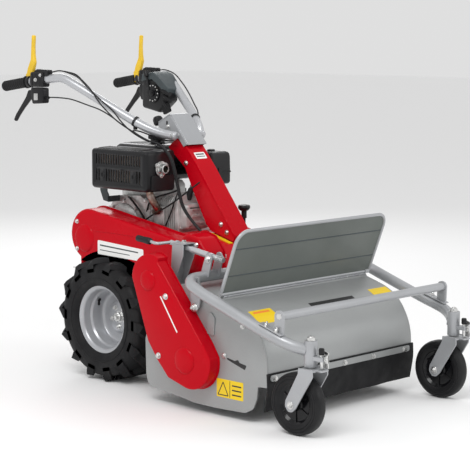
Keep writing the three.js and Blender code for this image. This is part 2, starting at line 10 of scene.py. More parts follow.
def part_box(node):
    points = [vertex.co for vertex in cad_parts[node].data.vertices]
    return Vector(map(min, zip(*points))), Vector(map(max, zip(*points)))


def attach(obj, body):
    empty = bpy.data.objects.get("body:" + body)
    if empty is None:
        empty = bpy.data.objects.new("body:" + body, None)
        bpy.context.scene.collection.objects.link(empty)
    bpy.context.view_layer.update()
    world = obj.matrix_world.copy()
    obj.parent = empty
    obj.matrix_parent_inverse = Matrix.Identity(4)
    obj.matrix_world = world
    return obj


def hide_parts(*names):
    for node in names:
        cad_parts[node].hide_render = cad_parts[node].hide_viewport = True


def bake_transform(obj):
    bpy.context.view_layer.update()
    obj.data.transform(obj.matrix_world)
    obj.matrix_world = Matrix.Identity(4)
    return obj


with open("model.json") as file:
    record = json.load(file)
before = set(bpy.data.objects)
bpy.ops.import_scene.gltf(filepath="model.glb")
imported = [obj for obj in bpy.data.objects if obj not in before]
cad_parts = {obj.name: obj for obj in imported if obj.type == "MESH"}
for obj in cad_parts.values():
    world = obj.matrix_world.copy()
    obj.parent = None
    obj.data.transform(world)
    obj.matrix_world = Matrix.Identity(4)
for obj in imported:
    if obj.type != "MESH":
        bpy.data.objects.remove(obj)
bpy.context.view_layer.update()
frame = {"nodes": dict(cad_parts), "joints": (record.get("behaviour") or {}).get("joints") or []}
NODES = frame["nodes"]
JOINTS = {j["name"]: j for j in frame["joints"]}
MM = 0.001
AXLE_Y = JOINTS["wheel_right_spin"]["pos_m"][1]
WHEEL_Z = JOINTS["wheel_right_spin"]["pos_m"][2] / MM
SIDES = (("right", -1), ("left", 1))


def joint_mm(name):
    """A joint's place as (x, y, z) in millimetres from the ground below the drive axle."""
    x, y, z = JOINTS[name]["pos_m"]
    return x / MM, (y - AXLE_Y) / MM, z / MM


def box_mm(node):
    """A node's lowest and highest corner in the same millimetres."""
    lo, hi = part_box(node)
    shift = Vector((0, AXLE_Y, 0))
    return (lo - shift) / MM, (hi - shift) / MM


# ---- camera, floor and light ----
CAMERA_TURN = tuple(math.radians(angle) for angle in (-46.507, 7.147, 0.189))
CAMERA_PLACE = (-3.812, AXLE_Y - 3.991, 1.159)
CAMERA_LENS = 124.84
SENSOR_WIDTH = 36
SKY_STRENGTH = 0.74
FLOOR_SIZE = 60
LIGHTS = {
    "key": ((-2.6, -1.2, 3.6), (0, 0, 0.4), (2.4, 1.6), 78),
    "front": ((1.8, -4.0, 2.2), (0, -0.4, 0.3), (2.0, 1.4), 30),
    "rim": ((2.5, 3.0, 2.6), (0, 0.2, 0.5), (2.0, 1.4), 30),
}


def make_camera():
    """The camera stands on the photo's side; its turn is azimuth, elevation and roll."""
    azimuth, elevation, roll = CAMERA_TURN
    back = Vector((math.sin(azimuth) * math.cos(elevation), -math.cos(azimuth) * math.cos(elevation),
                   math.sin(elevation)))
    right = Vector((math.cos(azimuth), math.sin(azimuth), 0))
    up = back.cross(right)
    right, up = (right * math.cos(roll) + up * math.sin(roll),
                 up * math.cos(roll) - right * math.sin(roll))
    data = bpy.data.cameras.new("camera")
    data.lens = CAMERA_LENS
    data.sensor_width = SENSOR_WIDTH
    camera = bpy.data.objects.new("camera", data)
    turn = Matrix((right, up, back)).transposed().to_4x4()
    camera.matrix_world = Matrix.Translation(CAMERA_PLACE) @ turn
    bpy.context.scene.collection.objects.link(camera)
    bpy.context.scene.camera = camera


def area_light(name, location, target, size, power):
    data = bpy.data.lights.new(name, "AREA")
    data.shape = "RECTANGLE"
    data.size, data.size_y = size
    data.energy = power
    light = bpy.data.objects.new(name, data)
    light.location = location
    light.rotation_euler = (Vector(target) - Vector(location)).to_track_quat("-Z", "Y").to_euler()
    bpy.context.scene.collection.objects.link(light)


def make_stage():
    """A pale floor, an even sky and three soft lights."""
    bpy.ops.mesh.primitive_plane_add(size=FLOOR_SIZE)
    floor = bpy.context.object
    floor.name = "floor"
    material = bpy.data.materials.new("floor")
    material.use_nodes = True
    shader = material.node_tree.nodes["Principled BSDF"]
    shader.inputs["Base Color"].default_value = (0.95, 0.95, 0.95, 1)
    shader.inputs["Roughness"].default_value = 0.9
    floor.data.materials.append(material)
    world = bpy.data.worlds.new("studio")
    world.use_nodes = True
    sky = world.node_tree.nodes["Background"]
    sky.inputs["Color"].default_value = (1, 1, 1, 1)
    sky.inputs["Strength"].default_value = SKY_STRENGTH
    bpy.context.scene.world = world
    for name, (place, target, size, power) in LIGHTS.items():
        area_light(name, place, target, size, power)
    bpy.context.scene.view_settings.view_transform = "Standard"


# ---- materials ----
class Look:
    """A node material that starts from a Principled shader and adds procedural detail to it."""

    def __init__(self, name, color, roughness, metallic=0.0, coat=0.0, specular=0.5):
        self.material = bpy.data.materials.new(name)
        self.material.use_nodes = True
        self.tree = self.material.node_tree
        self.shader = self.tree.nodes["Principled BSDF"]
        self.coords = self.node("ShaderNodeTexCoord").outputs["Object"]
        self.color = (*color, 1)
        self.shader.inputs["Base Color"].default_value = self.color
        self.shader.inputs["Roughness"].default_value = roughness
        self.shader.inputs["Metallic"].default_value = metallic
        self.shader.inputs["Coat Weight"].default_value = coat
        self.shader.inputs["Coat Roughness"].default_value = 0.06
        self.shader.inputs["Specular IOR Level"].default_value = specular
        self.color_out = None
        self.bump_out = None

    def node(self, kind, **values):
        made = self.tree.nodes.new(kind)
        for key, value in values.items():
            setattr(made, key, value)
        return made

    def link(self, source, target):
        self.tree.links.new(source, target)

    def noise(self, scale, detail=4.0, stretch=(1, 1, 1)):
        mapping = self.node("ShaderNodeMapping")
        mapping.inputs["Scale"].default_value = stretch
        self.link(self.coords, mapping.inputs["Vector"])
        noise = self.node("ShaderNodeTexNoise")
        noise.inputs["Scale"].default_value = scale
        noise.inputs["Detail"].default_value = detail
        self.link(mapping.outputs["Vector"], noise.inputs["Vector"])
        return noise.outputs["Fac"]

    def ramp(self, factor, low, high, start=0.35, end=0.65):
        ramp = self.node("ShaderNodeMapRange")
        ramp.inputs["From Min"].default_value = start
        ramp.inputs["From Max"].default_value = end
        ramp.inputs["To Min"].default_value = low
        ramp.inputs["To Max"].default_value = high
        self.link(factor, ramp.inputs["Value"])
        return ramp.outputs["Result"]

    def tint(self, factor, color):
        """Mixes color over what the base colour is so far, by factor."""
        mix = self.node("ShaderNodeMix", data_type="RGBA")
        self.link(factor, mix.inputs["Factor"])
        if self.color_out is None:
            mix.inputs[6].default_value = self.color
        else:
            self.link(self.color_out, mix.inputs[6])
        mix.inputs[7].default_value = (*color, 1)
        self.color_out = mix.outputs[2]
        self.link(self.color_out, self.shader.inputs["Base Color"])
        return self

    def rough(self, factor, low, high, start=0.35, end=0.65):
        self.link(self.ramp(factor, low, high, start, end), self.shader.inputs["Roughness"])
        return self

    def bump(self, height, distance, strength=0.5):
        bump = self.node("ShaderNodeBump")
        bump.inputs["Distance"].default_value = distance
        bump.inputs["Strength"].default_value = strength
        self.link(height, bump.inputs["Height"])
        if self.bump_out is not None:
            self.link(self.bump_out, bump.inputs["Normal"])
        self.bump_out = bump.outputs["Normal"]
        self.link(self.bump_out, self.shader.inputs["Normal"])
        return self

    def edge_wear(self, color):
        """Lightens convex edges a little, as paint and plastic do where they are rubbed."""
        geometry = self.node("ShaderNodeNewGeometry")
        worn = self.ramp(geometry.outputs["Pointiness"], 0, 0.5, 0.54, 0.64)
        return self.tint(worn, color)


def paint(name, color, roughness, coat=0.15, metallic=0.0, flakes=None, specular=0.35):
    look = Look(name, color, roughness, metallic, coat, specular)
    dark = tuple(c * 0.86 for c in color)
    look.tint(look.ramp(look.noise(5, 3), 0, 0.5), dark)
    if flakes:
        look.tint(look.ramp(look.noise(1900, 1), 0, 0.35, 0.45, 0.75), flakes)
    look.rough(look.noise(9, 5), roughness * 0.85, roughness * 1.3)
    look.bump(look.noise(260, 2), 0.0004, 0.06)
    look.edge_wear(tuple(min(1, c * 1.25 + 0.015) for c in color))
    return look.material


def plastic(name, color, roughness, grain=900, depth=0.2, specular=0.3):
    look = Look(name, color, roughness, specular=specular)
    look.tint(look.ramp(look.noise(14, 4), 0, 0.5), tuple(c * 1.5 + 0.001 for c in color))
    look.rough(look.noise(30, 4), roughness * 0.85, roughness * 1.2)
    look.bump(look.noise(grain, 3), 0.0003, depth)
    look.edge_wear(tuple(c * 1.6 + 0.006 for c in color))
    return look.material


def cast_metal(name, color, roughness):
    look = Look(name, color, roughness, 0.75)
    look.tint(look.ramp(look.noise(18, 5), 0, 0.55), tuple(c * 0.55 for c in color))
    look.tint(look.ramp(look.noise(55, 4), 0, 0.35, 0.5, 0.7), tuple(min(1, c * 1.3) for c in color))
    look.rough(look.noise(40, 5), roughness * 0.8, roughness * 1.35)
    look.bump(look.noise(420, 4), 0.0008, 0.35)
    look.edge_wear(tuple(min(1, c * 1.3) for c in color))
    return look.material


def plated(name, color, roughness):
    look = Look(name, color, roughness, 1.0)
    look.tint(look.ramp(look.noise(60, 5), 0, 0.5), tuple(c * 0.7 for c in color))
    look.rough(look.noise(130, 4), roughness * 0.7, roughness * 1.5)
    look.bump(look.noise(700, 3), 0.0003, 0.15)
    look.edge_wear((0.95, 0.95, 0.95))
    return look.material


def rubber(name, color, roughness, dust=(0.045, 0.043, 0.04)):
    look = Look(name, color, roughness, specular=0.22)
    look.tint(look.ramp(look.noise(16, 6), 0, 0.3, 0.45, 0.7), dust)
    look.rough(look.noise(25, 4), roughness * 0.8, roughness * 1.15)
    look.bump(look.noise(350, 4), 0.0006, 0.3)
    look.edge_wear(tuple(c * 1.5 + 0.006 for c in color))
    return look.material


def hot_pipe(name):
    look = Look(name, (0.45, 0.4, 0.36), 0.32, 1.0)
    look.tint(look.ramp(look.noise(22, 3, (1, 1, 2)), 0, 0.8, 0.4, 0.6), (0.14, 0.07, 0.05))
    look.tint(look.ramp(look.noise(80, 5), 0, 0.5, 0.5, 0.7), (0.6, 0.45, 0.33))
    look.rough(look.noise(60, 4), 0.22, 0.5)
    look.bump(look.noise(500, 3), 0.0003, 0.2)
    return look.material


LOOKS = {
    "red": paint("red_paint", (0.52, 0.001, 0.009), 0.22, coat=0.08, specular=0.06),
    "silver": paint("silver_paint", (0.40, 0.41, 0.425), 0.36, 0.15, 0.4, (0.6, 0.6, 0.62)),
    "tube": paint("tube_paint", (0.48, 0.49, 0.51), 0.3, 0.25, 0.45, (0.72, 0.72, 0.74)),
    "sheet": paint("sheet_paint", (0.33, 0.34, 0.34), 0.4, 0.1, 0.3, (0.48, 0.48, 0.48)),
    "inner": paint("inner_paint", (0.13, 0.145, 0.135), 0.45, 0.08, 0.2, (0.19, 0.21, 0.19)),
    "rim": paint("rim_paint", (0.44, 0.45, 0.47), 0.34, 0.2, 0.4, (0.65, 0.65, 0.67)),
    "zinc": plated("zinc_plate", (0.68, 0.68, 0.67), 0.3),
    "steel": plated("machined_steel", (0.42, 0.42, 0.43), 0.36),
    "cast": cast_metal("cast_aluminium", (0.70, 0.70, 0.69), 0.5),
    "pipe": hot_pipe("exhaust_pipe"),
    "black": plastic("black_plastic", (0.009, 0.009, 0.01), 0.4),
    "guard": plastic("guard_black", (0.007, 0.007, 0.008), 0.34, 500, 0.12),
    "gloss": plastic("gloss_black", (0.005, 0.005, 0.006), 0.14, 200, 0.03),
    "panel": plastic("panel_grey", (0.045, 0.056, 0.06), 0.36),
    "yellow": plastic("yellow_plastic", (0.72, 0.47, 0.03), 0.36, 600, 0.08),
    "rubber": rubber("black_rubber", (0.009, 0.009, 0.01), 0.6, (0.03, 0.03, 0.03)),
    "tyre": rubber("tyre_rubber", (0.009, 0.009, 0.01), 0.62, (0.028, 0.027, 0.026)),
    "castor": rubber("castor_rubber", (0.01, 0.01, 0.011), 0.5, (0.03, 0.03, 0.03)),
    "white": paint("white_print", (0.85, 0.85, 0.83), 0.35, coat=0.1),
    "orange": paint("orange_print", (0.78, 0.22, 0.03), 0.35, coat=0.1),
    "label_yellow": paint("yellow_print", (0.86, 0.60, 0.01), 0.35, coat=0.1),
    # Black for print, and for painted shade over the slots in the head and the right side plate.
    "print_black": paint("black_print_and_shade", (0.015, 0.015, 0.016), 0.4, coat=0.1),
}


# ---- mesh building, in millimetres from the ground below the drive axle ----
class Shape:
    """Vertices, faces and the material number of each face."""

    def __init__(self):
        self.verts = []
        self.faces = []
        self.kinds = []

    def add(self, verts, faces, kind=0):
        start = len(self.verts)
        self.verts += [Vector(v) for v in verts]
        self.faces += [tuple(i + start for i in face) for face in faces]
        self.kinds += [kind] * len(faces)
        return self

    def turned(self, matrix):
        self.verts = [matrix @ v for v in self.verts]
        return self

    def join(self, other, kind=None):
        kinds = other.kinds if kind is None else [kind] * len(other.faces)
        start = len(self.verts)
        self.verts += other.verts
        self.faces += [tuple(i + start for i in face) for face in other.faces]
        self.kinds += kinds
        return self

    def mirror(self):
        self.verts = [Vector((-v.x, v.y, v.z)) for v in self.verts]
        self.faces = [tuple(reversed(face)) for face in self.faces]
        return self


AXES = {
    "x": lambda u, v, h: (h, u, v),
    "y": lambda u, v, h: (u, h, v),
    "z": lambda u, v, h: (u, v, h),
}


def signed_area(points):
    return sum(a[0] * b[1] - b[0] * a[1] for a, b in zip(points, points[1:] + points[:1])) / 2


def arc(cu, cv, radius, start, end, steps):
    angles = [math.radians(start + (end - start) * i / steps) for i in range(steps + 1)]
    return [(cu + radius * math.cos(a), cv + radius * math.sin(a)) for a in angles]


def rounded(points, radius, steps=4):
    """The outline with each corner rounded; radius is one number or one for each corner."""
    radii = radius if isinstance(radius, (list, tuple)) else [radius] * len(points)
    out = []
    for i, corner in enumerate(points):
        before, after = Vector(points[i - 1]), Vector(points[(i + 1) % len(points)])
        corner = Vector(corner)
        a, b = before - corner, after - corner
        turn = a.angle(b, math.pi)
        if radii[i] <= 0 or turn > math.radians(176):
            out.append(tuple(corner))
            continue
        reach = min(radii[i] / math.tan(turn / 2), a.length * 0.49, b.length * 0.49)
        p, q = corner + a.normalized() * reach, corner + b.normalized() * reach
        for k in range(steps + 1):
            t = k / steps
            out.append(tuple(p * (1 - t) ** 2 + corner * 2 * t * (1 - t) + q * t ** 2))
    return out


def rectangle(u0, u1, v0, v1):
    return [(u0, v0), (u1, v0), (u1, v1), (u0, v1)]


def prism(points, lo, hi, axis="x", holes=()):
    """The outline pushed from lo to hi along an axis; its points are [y, z], [x, z] or [x, y]."""
    place = AXES[axis]
    loops = [list(points) if signed_area(list(points)) > 0 else list(reversed(points))]
    loops += [list(h) if signed_area(list(h)) < 0 else list(reversed(h)) for h in holes]
    verts, faces = [], []
    for level in (lo, hi):
        for points_of_loop in loops:
            verts += [place(u, v, level) for u, v in points_of_loop]
    count = len(verts) // 2
    start = 0
    for points_of_loop in loops:
        n = len(points_of_loop)
        for i in range(n):
            a, b = start + i, start + (i + 1) % n
            faces.append((a, b, b + count, a + count))
        start += n
    if holes:
        triangles = tessellate_polygon([[Vector((u, v, 0)) for u, v in loop] for loop in loops])
        flat = [p for loop in loops for p in loop]
        for a, b, c in triangles:
            if signed_area([flat[a], flat[b], flat[c]]) < 0:
                a, c = c, a
            faces.append((a + count, b + count, c + count))
            faces.append((c, b, a))
    else:
        faces.append(tuple(range(count, 2 * count)))
        faces.append(tuple(reversed(range(count))))
    if axis == "y":
        faces = [tuple(reversed(face)) for face in faces]
    return Shape().add(verts, faces)


def block(x0, x1, y0, y1, z0, z1):
    return prism(rectangle(x0, x1, y0, y1), z0, z1, "z")


def smooth_path(points, steps):
    """Points along a centripetal Catmull-Rom curve, evenly in parameter."""
    pts = [Vector(p) for p in points]
    pts = [pts[0] * 2 - pts[1], *pts, pts[-1] * 2 - pts[-2]]
    spans = len(pts) - 3
    out = []
    for s in range(steps + 1):
        f = min(s * spans / steps, spans - 1e-9)
        i = int(f)
        p = pts[i:i + 4]
        t = [0.0]
        for a, b in zip(p, p[1:]):
            t.append(t[-1] + max((b - a).length, 1e-6) ** 0.5)
        u = t[1] + (f - i) * (t[2] - t[1])
        a = [p[k] * ((t[k + 1] - u) / (t[k + 1] - t[k])) + p[k + 1] * ((u - t[k]) / (t[k + 1] - t[k]))
             for k in range(3)]
        b = [a[k] * ((t[k + 2] - u) / (t[k + 2] - t[k])) + a[k + 1] * ((u - t[k]) / (t[k + 2] - t[k]))
             for k in range(2)]
        out.append(b[0] * ((t[2] - u) / (t[2] - t[1])) + b[1] * ((u - t[1]) / (t[2] - t[1])))
    return out


def along(path, section):
    """Sweeps a section along a path. section(i) gives the [u, v] points at path point i."""
    last = len(path) - 1
    tangents = [(path[min(i + 1, last)] - path[max(i - 1, 0)]).normalized() for i in range(len(path))]
    side = Vector((0, 0, 1)).cross(tangents[0])
    if side.length < 1e-3:
        side = Vector((1, 0, 0))
    side.normalize()
    verts, faces = [], []
    count = len(section(0))
    for i, (point, tangent) in enumerate(zip(path, tangents)):
        side = (side - tangent * side.dot(tangent)).normalized()
        lift = tangent.cross(side)
        verts += [point + side * u + lift * v for u, v in section(i)]
    for i in range(len(path) - 1):
        for k in range(count):
            a, b = i * count + k, i * count + (k + 1) % count
            faces.append((a, b, b + count, a + count))
    faces.append(tuple(reversed(range(count))))
    faces.append(tuple(range(len(verts) - count, len(verts))))
    return Shape().add(verts, faces)


def circle(radius, sides):
    return [(radius * math.cos(2 * math.pi * k / sides), radius * math.sin(2 * math.pi * k / sides))
            for k in range(sides)]


def tube(points, radius, sides=20, steps=None, smooth=True):
    """Round bar along the points, curved through them or straight between them."""
    path = smooth_path(points, steps or 6 * len(points)) if smooth else [Vector(p) for p in points]
    return along(path, lambda i: circle(radius, sides))


def lathe(profile, centre, axis, segments=48):
    """Turned piece; profile points are [radius, distance along the axis]. Ends on the axis are closed."""
    axis = Vector(axis).normalized()
    u = axis.orthogonal().normalized()
    v = axis.cross(u)
    centre = Vector(centre)
    verts, rings = [], []
    for r, h in profile:
        if r < 1e-6:
            rings.append([len(verts)])
            verts.append(centre + axis * h)
            continue
        rings.append(list(range(len(verts), len(verts) + segments)))
        for k in range(segments):
            angle = 2 * math.pi * k / segments
            verts.append(centre + axis * h + (u * math.cos(angle) + v * math.sin(angle)) * r)
    faces = []
    for a, b in zip(rings, rings[1:]):
        for k in range(segments):
            n = (k + 1) % segments
            if len(a) == 1 and len(b) > 1:
                faces.append((a[0], b[n], b[k]))
            elif len(b) == 1 and len(a) > 1:
                faces.append((a[k], a[n], b[0]))
            elif len(a) > 1:
                faces.append((a[k], a[n], b[n], b[k]))
    return Shape().add(verts, faces)


def disc(centre, axis, radius, height, edge=None, segments=32):
    """Round button standing on centre with a rounded edge."""
    e = min(radius, height) * 0.3 if edge is None else edge
    profile = [(0, 0), (radius, 0), (radius, height - e), (radius - e * 0.3, height - e * 0.3),
               (radius - e, height), (0, height)]
    return lathe(profile, centre, axis, segments)


def rod(radius, length, centre, axis, segments=24):
    """Plain round piece with flat ends, standing on centre."""
    return lathe(rectangle(0, radius, 0, length), centre, axis, segments)


def ring_spots(centre, radius, count, start=0):
    """Places spread evenly round a circle that faces along x; start is in degrees."""
    x, y, z = centre
    angles = [math.radians(start + 360 * k / count) for k in range(count)]
    return [(x, y + radius * math.cos(a), z + radius * math.sin(a)) for a in angles]


def spun(shape, centre, degrees):
    """The shape turned about the x direction, then moved to centre."""
    return shape.turned(Matrix.Translation(centre) @ Matrix.Rotation(math.radians(degrees), 4, "X"))


def hex_bolt(centre, axis, across=13, height=6, washer=None, stud=0):
    """Bolt head with a chamfered top, on a washer, with an optional stud end standing out of a nut."""
    axis = Vector(axis).normalized()
    made = Shape()
    washer = across * 0.78 if washer is None else washer
    base = 0
    if washer:
        made.join(lathe([(0, 0), (washer, 0), (washer, 1.4), (washer - 0.5, 1.8), (0, 1.8)], centre, axis,
                        20))
        base = 1.7
    r = across / math.sqrt(3)
    head = lathe([(0, base), (r, base), (r, base + height * 0.85), (r * 0.86, base + height),
                  (0, base + height)], centre, axis, 6)
    made.join(head)
    if stud:
        s = across * 0.3
        made.join(lathe([(0, base + height - 0.5), (s, base + height - 0.5), (s, base + height + stud - 1),
                         (s * 0.8, base + height + stud), (0, base + height + stud)], centre, axis, 14))
    return made


def bolt_set(*bolts):
    """Several bolts in one shape; each is a tuple of hex_bolt's values."""
    made = Shape()
    for values in bolts:
        made.join(hex_bolt(*values))
    return made


def inset(points, distance):
    """The outline moved inwards; the outline runs counter-clockwise."""
    pts = [Vector(p) for p in points]
    out = []
    for i, p in enumerate(pts):
        d0, d1 = (p - pts[i - 1]).normalized(), (pts[(i + 1) % len(pts)] - p).normalized()
        n0, n1 = Vector((-d0.y, d0.x)), Vector((-d1.y, d1.x))
        mitre = n0 + n1
        out.append(tuple(p + mitre * (2 * distance / max(mitre.length_squared, 1.0))))
    return out


def domed(points, levels, axis="x", holes=(), open_start=False):
    """Stacked insets of an outline: levels are [height, inset] from the first face to the last one."""
    place = AXES[axis]
    points = list(points) if signed_area(list(points)) > 0 else list(reversed(points))
    count = len(points)
    rings = [inset(points, distance) for _, distance in levels]
    verts = [place(u, v, level) for ring, (level, _) in zip(rings, levels) for u, v in ring]
    faces = []
    for i in range(len(levels) - 1):
        for k in range(count):
            a, b = i * count + k, i * count + (k + 1) % count
            faces.append((a, b, b + count, a + count))
    top = list(range((len(levels) - 1) * count, len(levels) * count))
    if holes:
        loops = [rings[-1]] + [list(h) for h in holes]
        for hole in holes:
            top += range(len(verts), len(verts) + len(hole))
            verts += [place(u, v, levels[-1][0]) for u, v in hole]
        flat = [p for loop in loops for p in loop]
        for a, b, c in tessellate_polygon([[Vector((u, v, 0)) for u, v in loop] for loop in loops]):
            order = (a, b, c) if signed_area([flat[a], flat[b], flat[c]]) > 0 else (c, b, a)
            faces.append(tuple(top[i] for i in order))
    else:
        faces.append(tuple(top))
    if not open_start:
        faces.append(tuple(reversed(range(count))))
    if (levels[-1][0] < levels[0][0]) != (axis == "y"):
        faces = [tuple(reversed(face)) for face in faces]
    return Shape().add(verts, faces)


def both_faces(middle, levels):
    """Levels for domed, the same on both sides of the middle; levels are [distance from it, inset]."""
    return [(middle - d, cut) for d, cut in levels] + [(middle + d, cut) for d, cut in reversed(levels)]


def sheet_strip(points, thickness):
    """A closed strip of that thickness beside an open outline."""
    pts = [Vector(p) for p in points]
    normals = []
    for a, b in zip(pts, pts[1:]):
        d = (b - a).normalized()
        normals.append(Vector((d.y, -d.x)))
    inner = []
    for i, p in enumerate(pts):
        mitre = normals[max(i - 1, 0)] + normals[min(i, len(normals) - 1)]
        inner.append(p + mitre * (2 * thickness / mitre.length_squared))
    return [tuple(p) for p in pts] + [tuple(p) for p in reversed(inner)]


def round_edges(made, width, segments, angle):
    """Rounds the edges that are sharper than angle; width is in millimetres."""
    modifier = made.modifiers.new("edges", "BEVEL")
    modifier.width = width * MM
    modifier.segments = segments
    modifier.limit_method = "ANGLE"
    modifier.angle_limit = math.radians(angle)
    modifier.harden_normals = True
    return modifier


def piece(name, shape, body, looks, replaces=(), bevel=0.0, angle=32, segments=2):
    """Makes the object from a shape, smooths it, and lets it ride on its body."""
    mesh = bpy.data.meshes.new(name)
    shift = Vector((0, AXLE_Y, 0))
    mesh.from_pydata([v * MM + shift for v in shape.verts], [], shape.faces)
    names = [looks] if isinstance(looks, str) else list(looks)
    for look in names:
        mesh.materials.append(LOOKS[look])
    for polygon, kind in zip(mesh.polygons, shape.kinds):
        polygon.material_index = kind
    mesh.validate()
    sides = bmesh.new()
    sides.from_mesh(mesh)
    bmesh.ops.recalc_face_normals(sides, faces=sides.faces)
    sides.to_mesh(mesh)
    sides.free()
    mesh.shade_smooth()
    mesh.set_sharp_from_angle(angle=math.radians(angle))
    made = bpy.data.objects.new(name, mesh)
    bpy.context.scene.collection.objects.link(made)
    if bevel:
        round_edges(made, bevel, segments, angle).miter_outer = "MITER_ARC"
    if body:
        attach(made, body)
    if replaces:
        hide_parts(*([replaces] if isinstance(replaces, str) else replaces))
    return made


def keep(node, look, bevel=0.8):
    """A CAD node that stays in view gets its material and rounded edges."""
    made = NODES[node]
    made.data.materials.clear()
    made.data.materials.append(LOOKS[look])
    if bevel:
        round_edges(made, bevel, 2, 40)


# ---- drive wheels ----
LUGS = 14
LUG_LEAD = math.radians(23)
CARCASS = [(112, 122), (113, 108), (119, 103), (128, 99), (136, 98), (137, 96.5), (140, 96.5), (141, 98),
           (156, 97), (172, 99), (183, 104), (189, 112), (191, 130), (192, 180), (191, 230), (189, 247),
           (183, 255), (172, 260), (156, 262), (141, 261), (140, 262.5), (137, 262.5), (136, 261),
           (128, 260), (119, 256), (113, 250), (112, 238), (112, 122)]
LUG_LINE = [(262.5, 168, 160), (262.5, 180, 172), (260, 192, 180), (254, 201, 185), (243, 205.5, 187),
            (222, 206, 189), (200, 206, 190), (180, 206, 190), (169, 205.5, 190), (167, 200, 190)]


def lug(sign, inboard, start):
    """One tread bar, from the shoulder to just past the middle of the tread."""
    middle = 179.5
    shoulder = 263
    half = 12.0
    lean = math.radians(42)
    verts = []
    for i, (axial, top, base) in enumerate(LUG_LINE):
        travel = (LUG_LINE[0][0] - axial) / (LUG_LINE[0][0] - LUG_LINE[-1][0])
        angle = start + LUG_LEAD * travel
        grow = 1.35 if i < 3 else 1.0
        slant = (0, 0, 0.55)[i] if i < 3 else 1
        for r, width in ((base, half * 1.35), (top, half), (top, -half), (base, -half * 1.35)):
            width *= grow
            x = axial + math.sin(lean) * width * slant
            x = min(x, shoulder) if i < 9 else x
            if inboard:
                x = 2 * middle - x
            turn = angle + math.cos(lean) * width / r
            verts.append((sign * x, r * math.cos(turn), WHEEL_Z + r * math.sin(turn)))
    faces = [(0, 1, 2, 3)]
    for i in range(len(LUG_LINE) - 1):
        for k in range(4):
            a, b = 4 * i + k, 4 * i + (k + 1) % 4
            faces.append((a, a + 4, b + 4, b))
    last = 4 * (len(LUG_LINE) - 1)
    faces.append((last + 3, last + 2, last + 1, last))
    if (sign > 0) == inboard:
        faces = [tuple(reversed(face)) for face in faces]
    return Shape().add(verts, faces)


def make_tyre(name, sign):
    """The carcass with two rows of tread bars, half a pitch apart."""
    shape = lathe(CARCASS, (0, 0, WHEEL_Z), (sign, 0, 0), 112)
    pitch = 2 * math.pi / LUGS
    for i in range(LUGS):
        shape.join(lug(sign, False, i * pitch))
        shape.join(lug(sign, True, (i + 0.5) * pitch))
    piece(f"agricultural_tyre_{name}", shape, f"wheel_{name}", "tyre", f"tyre_{name}",
          angle=38)


RIM = [(0, 146), (84, 146), (91, 140), (94, 122), (99, 114), (112, 112), (116, 108), (118.5, 103),
       (121, 103), (121, 107), (117, 113), (108, 117), (102, 122), (101, 200), (102, 232), (108, 238),
       (116, 241), (119.5, 244), (121, 248), (119.5, 250.5), (116.5, 250), (114, 246.5), (107, 244),
       (101, 240), (98.5, 234), (98, 214), (96.5, 210), (92, 207), (90.5, 203), (90, 176), (88.5, 167),
       (84, 162.5), (76, 160.5), (60, 160), (56, 161), (53, 166), (50, 168), (20, 168), (0, 168)]


def make_rim(name, sign):
    """The deep-dished rim with its hub nut, wheel bolts and valve."""
    body = f"wheel_{name}"
    centre = Vector((0, 0, WHEEL_Z))
    piece(f"wheel_rim_{name}", lathe(RIM, centre, (sign, 0, 0), 96), body, "rim",
          f"rim_{name}", angle=40)
    fixings = hex_bolt(centre + Vector((sign * 167, 0, 0)), (sign, 0, 0), 30, 12, 20, 9)
    for place in ring_spots((sign * 167.5, 0, WHEEL_Z), 34, 5, 128):
        fixings.join(hex_bolt(place, (sign, 0, 0), 12, 6, 9.5, 3))
    piece(f"wheel_bolts_{name}", fixings, body, "zinc", bevel=0.4)
    angle = math.radians(35)
    root = centre + Vector((sign * 190, 92 * math.cos(angle), 92 * math.sin(angle)))
    inward = Vector((sign * 0.62, -0.78 * math.cos(angle), -0.78 * math.sin(angle)))
    valve = lathe([(0, -4), (7, -4), (7, 3), (4, 8), (3.6, 20), (4.6, 20.5), (4.6, 29), (3.5, 30),
                   (0, 30)], root, inward, 16)
    piece(f"tyre_valve_{name}", valve, body, "rubber")


def make_wheels():
    for name, sign in SIDES:
        make_tyre(name, sign)
        make_rim(name, sign)


# ---- chassis ----
def make_chassis():
    """The CAD frame and drive parts that stay in view, with bolts, welds and a label."""
    keep("main_frame", "red", 2.5)
    keep("transaxle", "cast", 4)
    keep("rear_bracket", "zinc", 1)
    for node in ("engine_pulley", "countershaft", "rotor"):
        keep(node, "steel", 1)
    for node in ("drive_belt", "rotor_belt"):
        keep(node, "rubber", 1)
    top = box_mm("main_frame")[1].z
    front = [((x, -236, top - 14.5), (0, 0.55, 0.83), 11, 6) for x in (-118, -62, 62, 118)]
    nose = [((x, -440, 449), (0, -0.72, 0.69), 11, 6) for x in (-120, 120)]
    rails = [((side * 84.2, y, 382), (side, 0, 0), 12, 6) for side in (-1, 1) for y in (-180, -60, 60, 140)]
    cover = [((x, -330, 494.5), (0, -0.27, 0.96), 11, 6) for x in (-60, 60)]
    bolts = bolt_set(*front, *nose, *rails, *cover)
    piece("frame_bolts", bolts, "chassis", "zinc", bevel=0.3)
    seam = tube([(-139, -217, 478), (-100, -217, 479), (100, -217, 479), (139, -217, 478)], 2.2, 8,
                smooth=False)
    for x in (-84.5, 84.5):
        seam.join(tube([(x, -228, 401.5), (x, 100, 401.5), (x, 160, 401.5)], 2, 8, smooth=False))
    piece("frame_weld_seams", seam, "chassis", "red")
    plate_slope = prism([(-316, 503.6), (-408, 479.2), (-409, 482.2), (-317, 506.6)], -62, -46)
    piece("frame_label", plate_slope, "chassis", "label_yellow", bevel=0.3)


# ---- drive belt cover ----
COVER_ARC = (98, 478, 88)


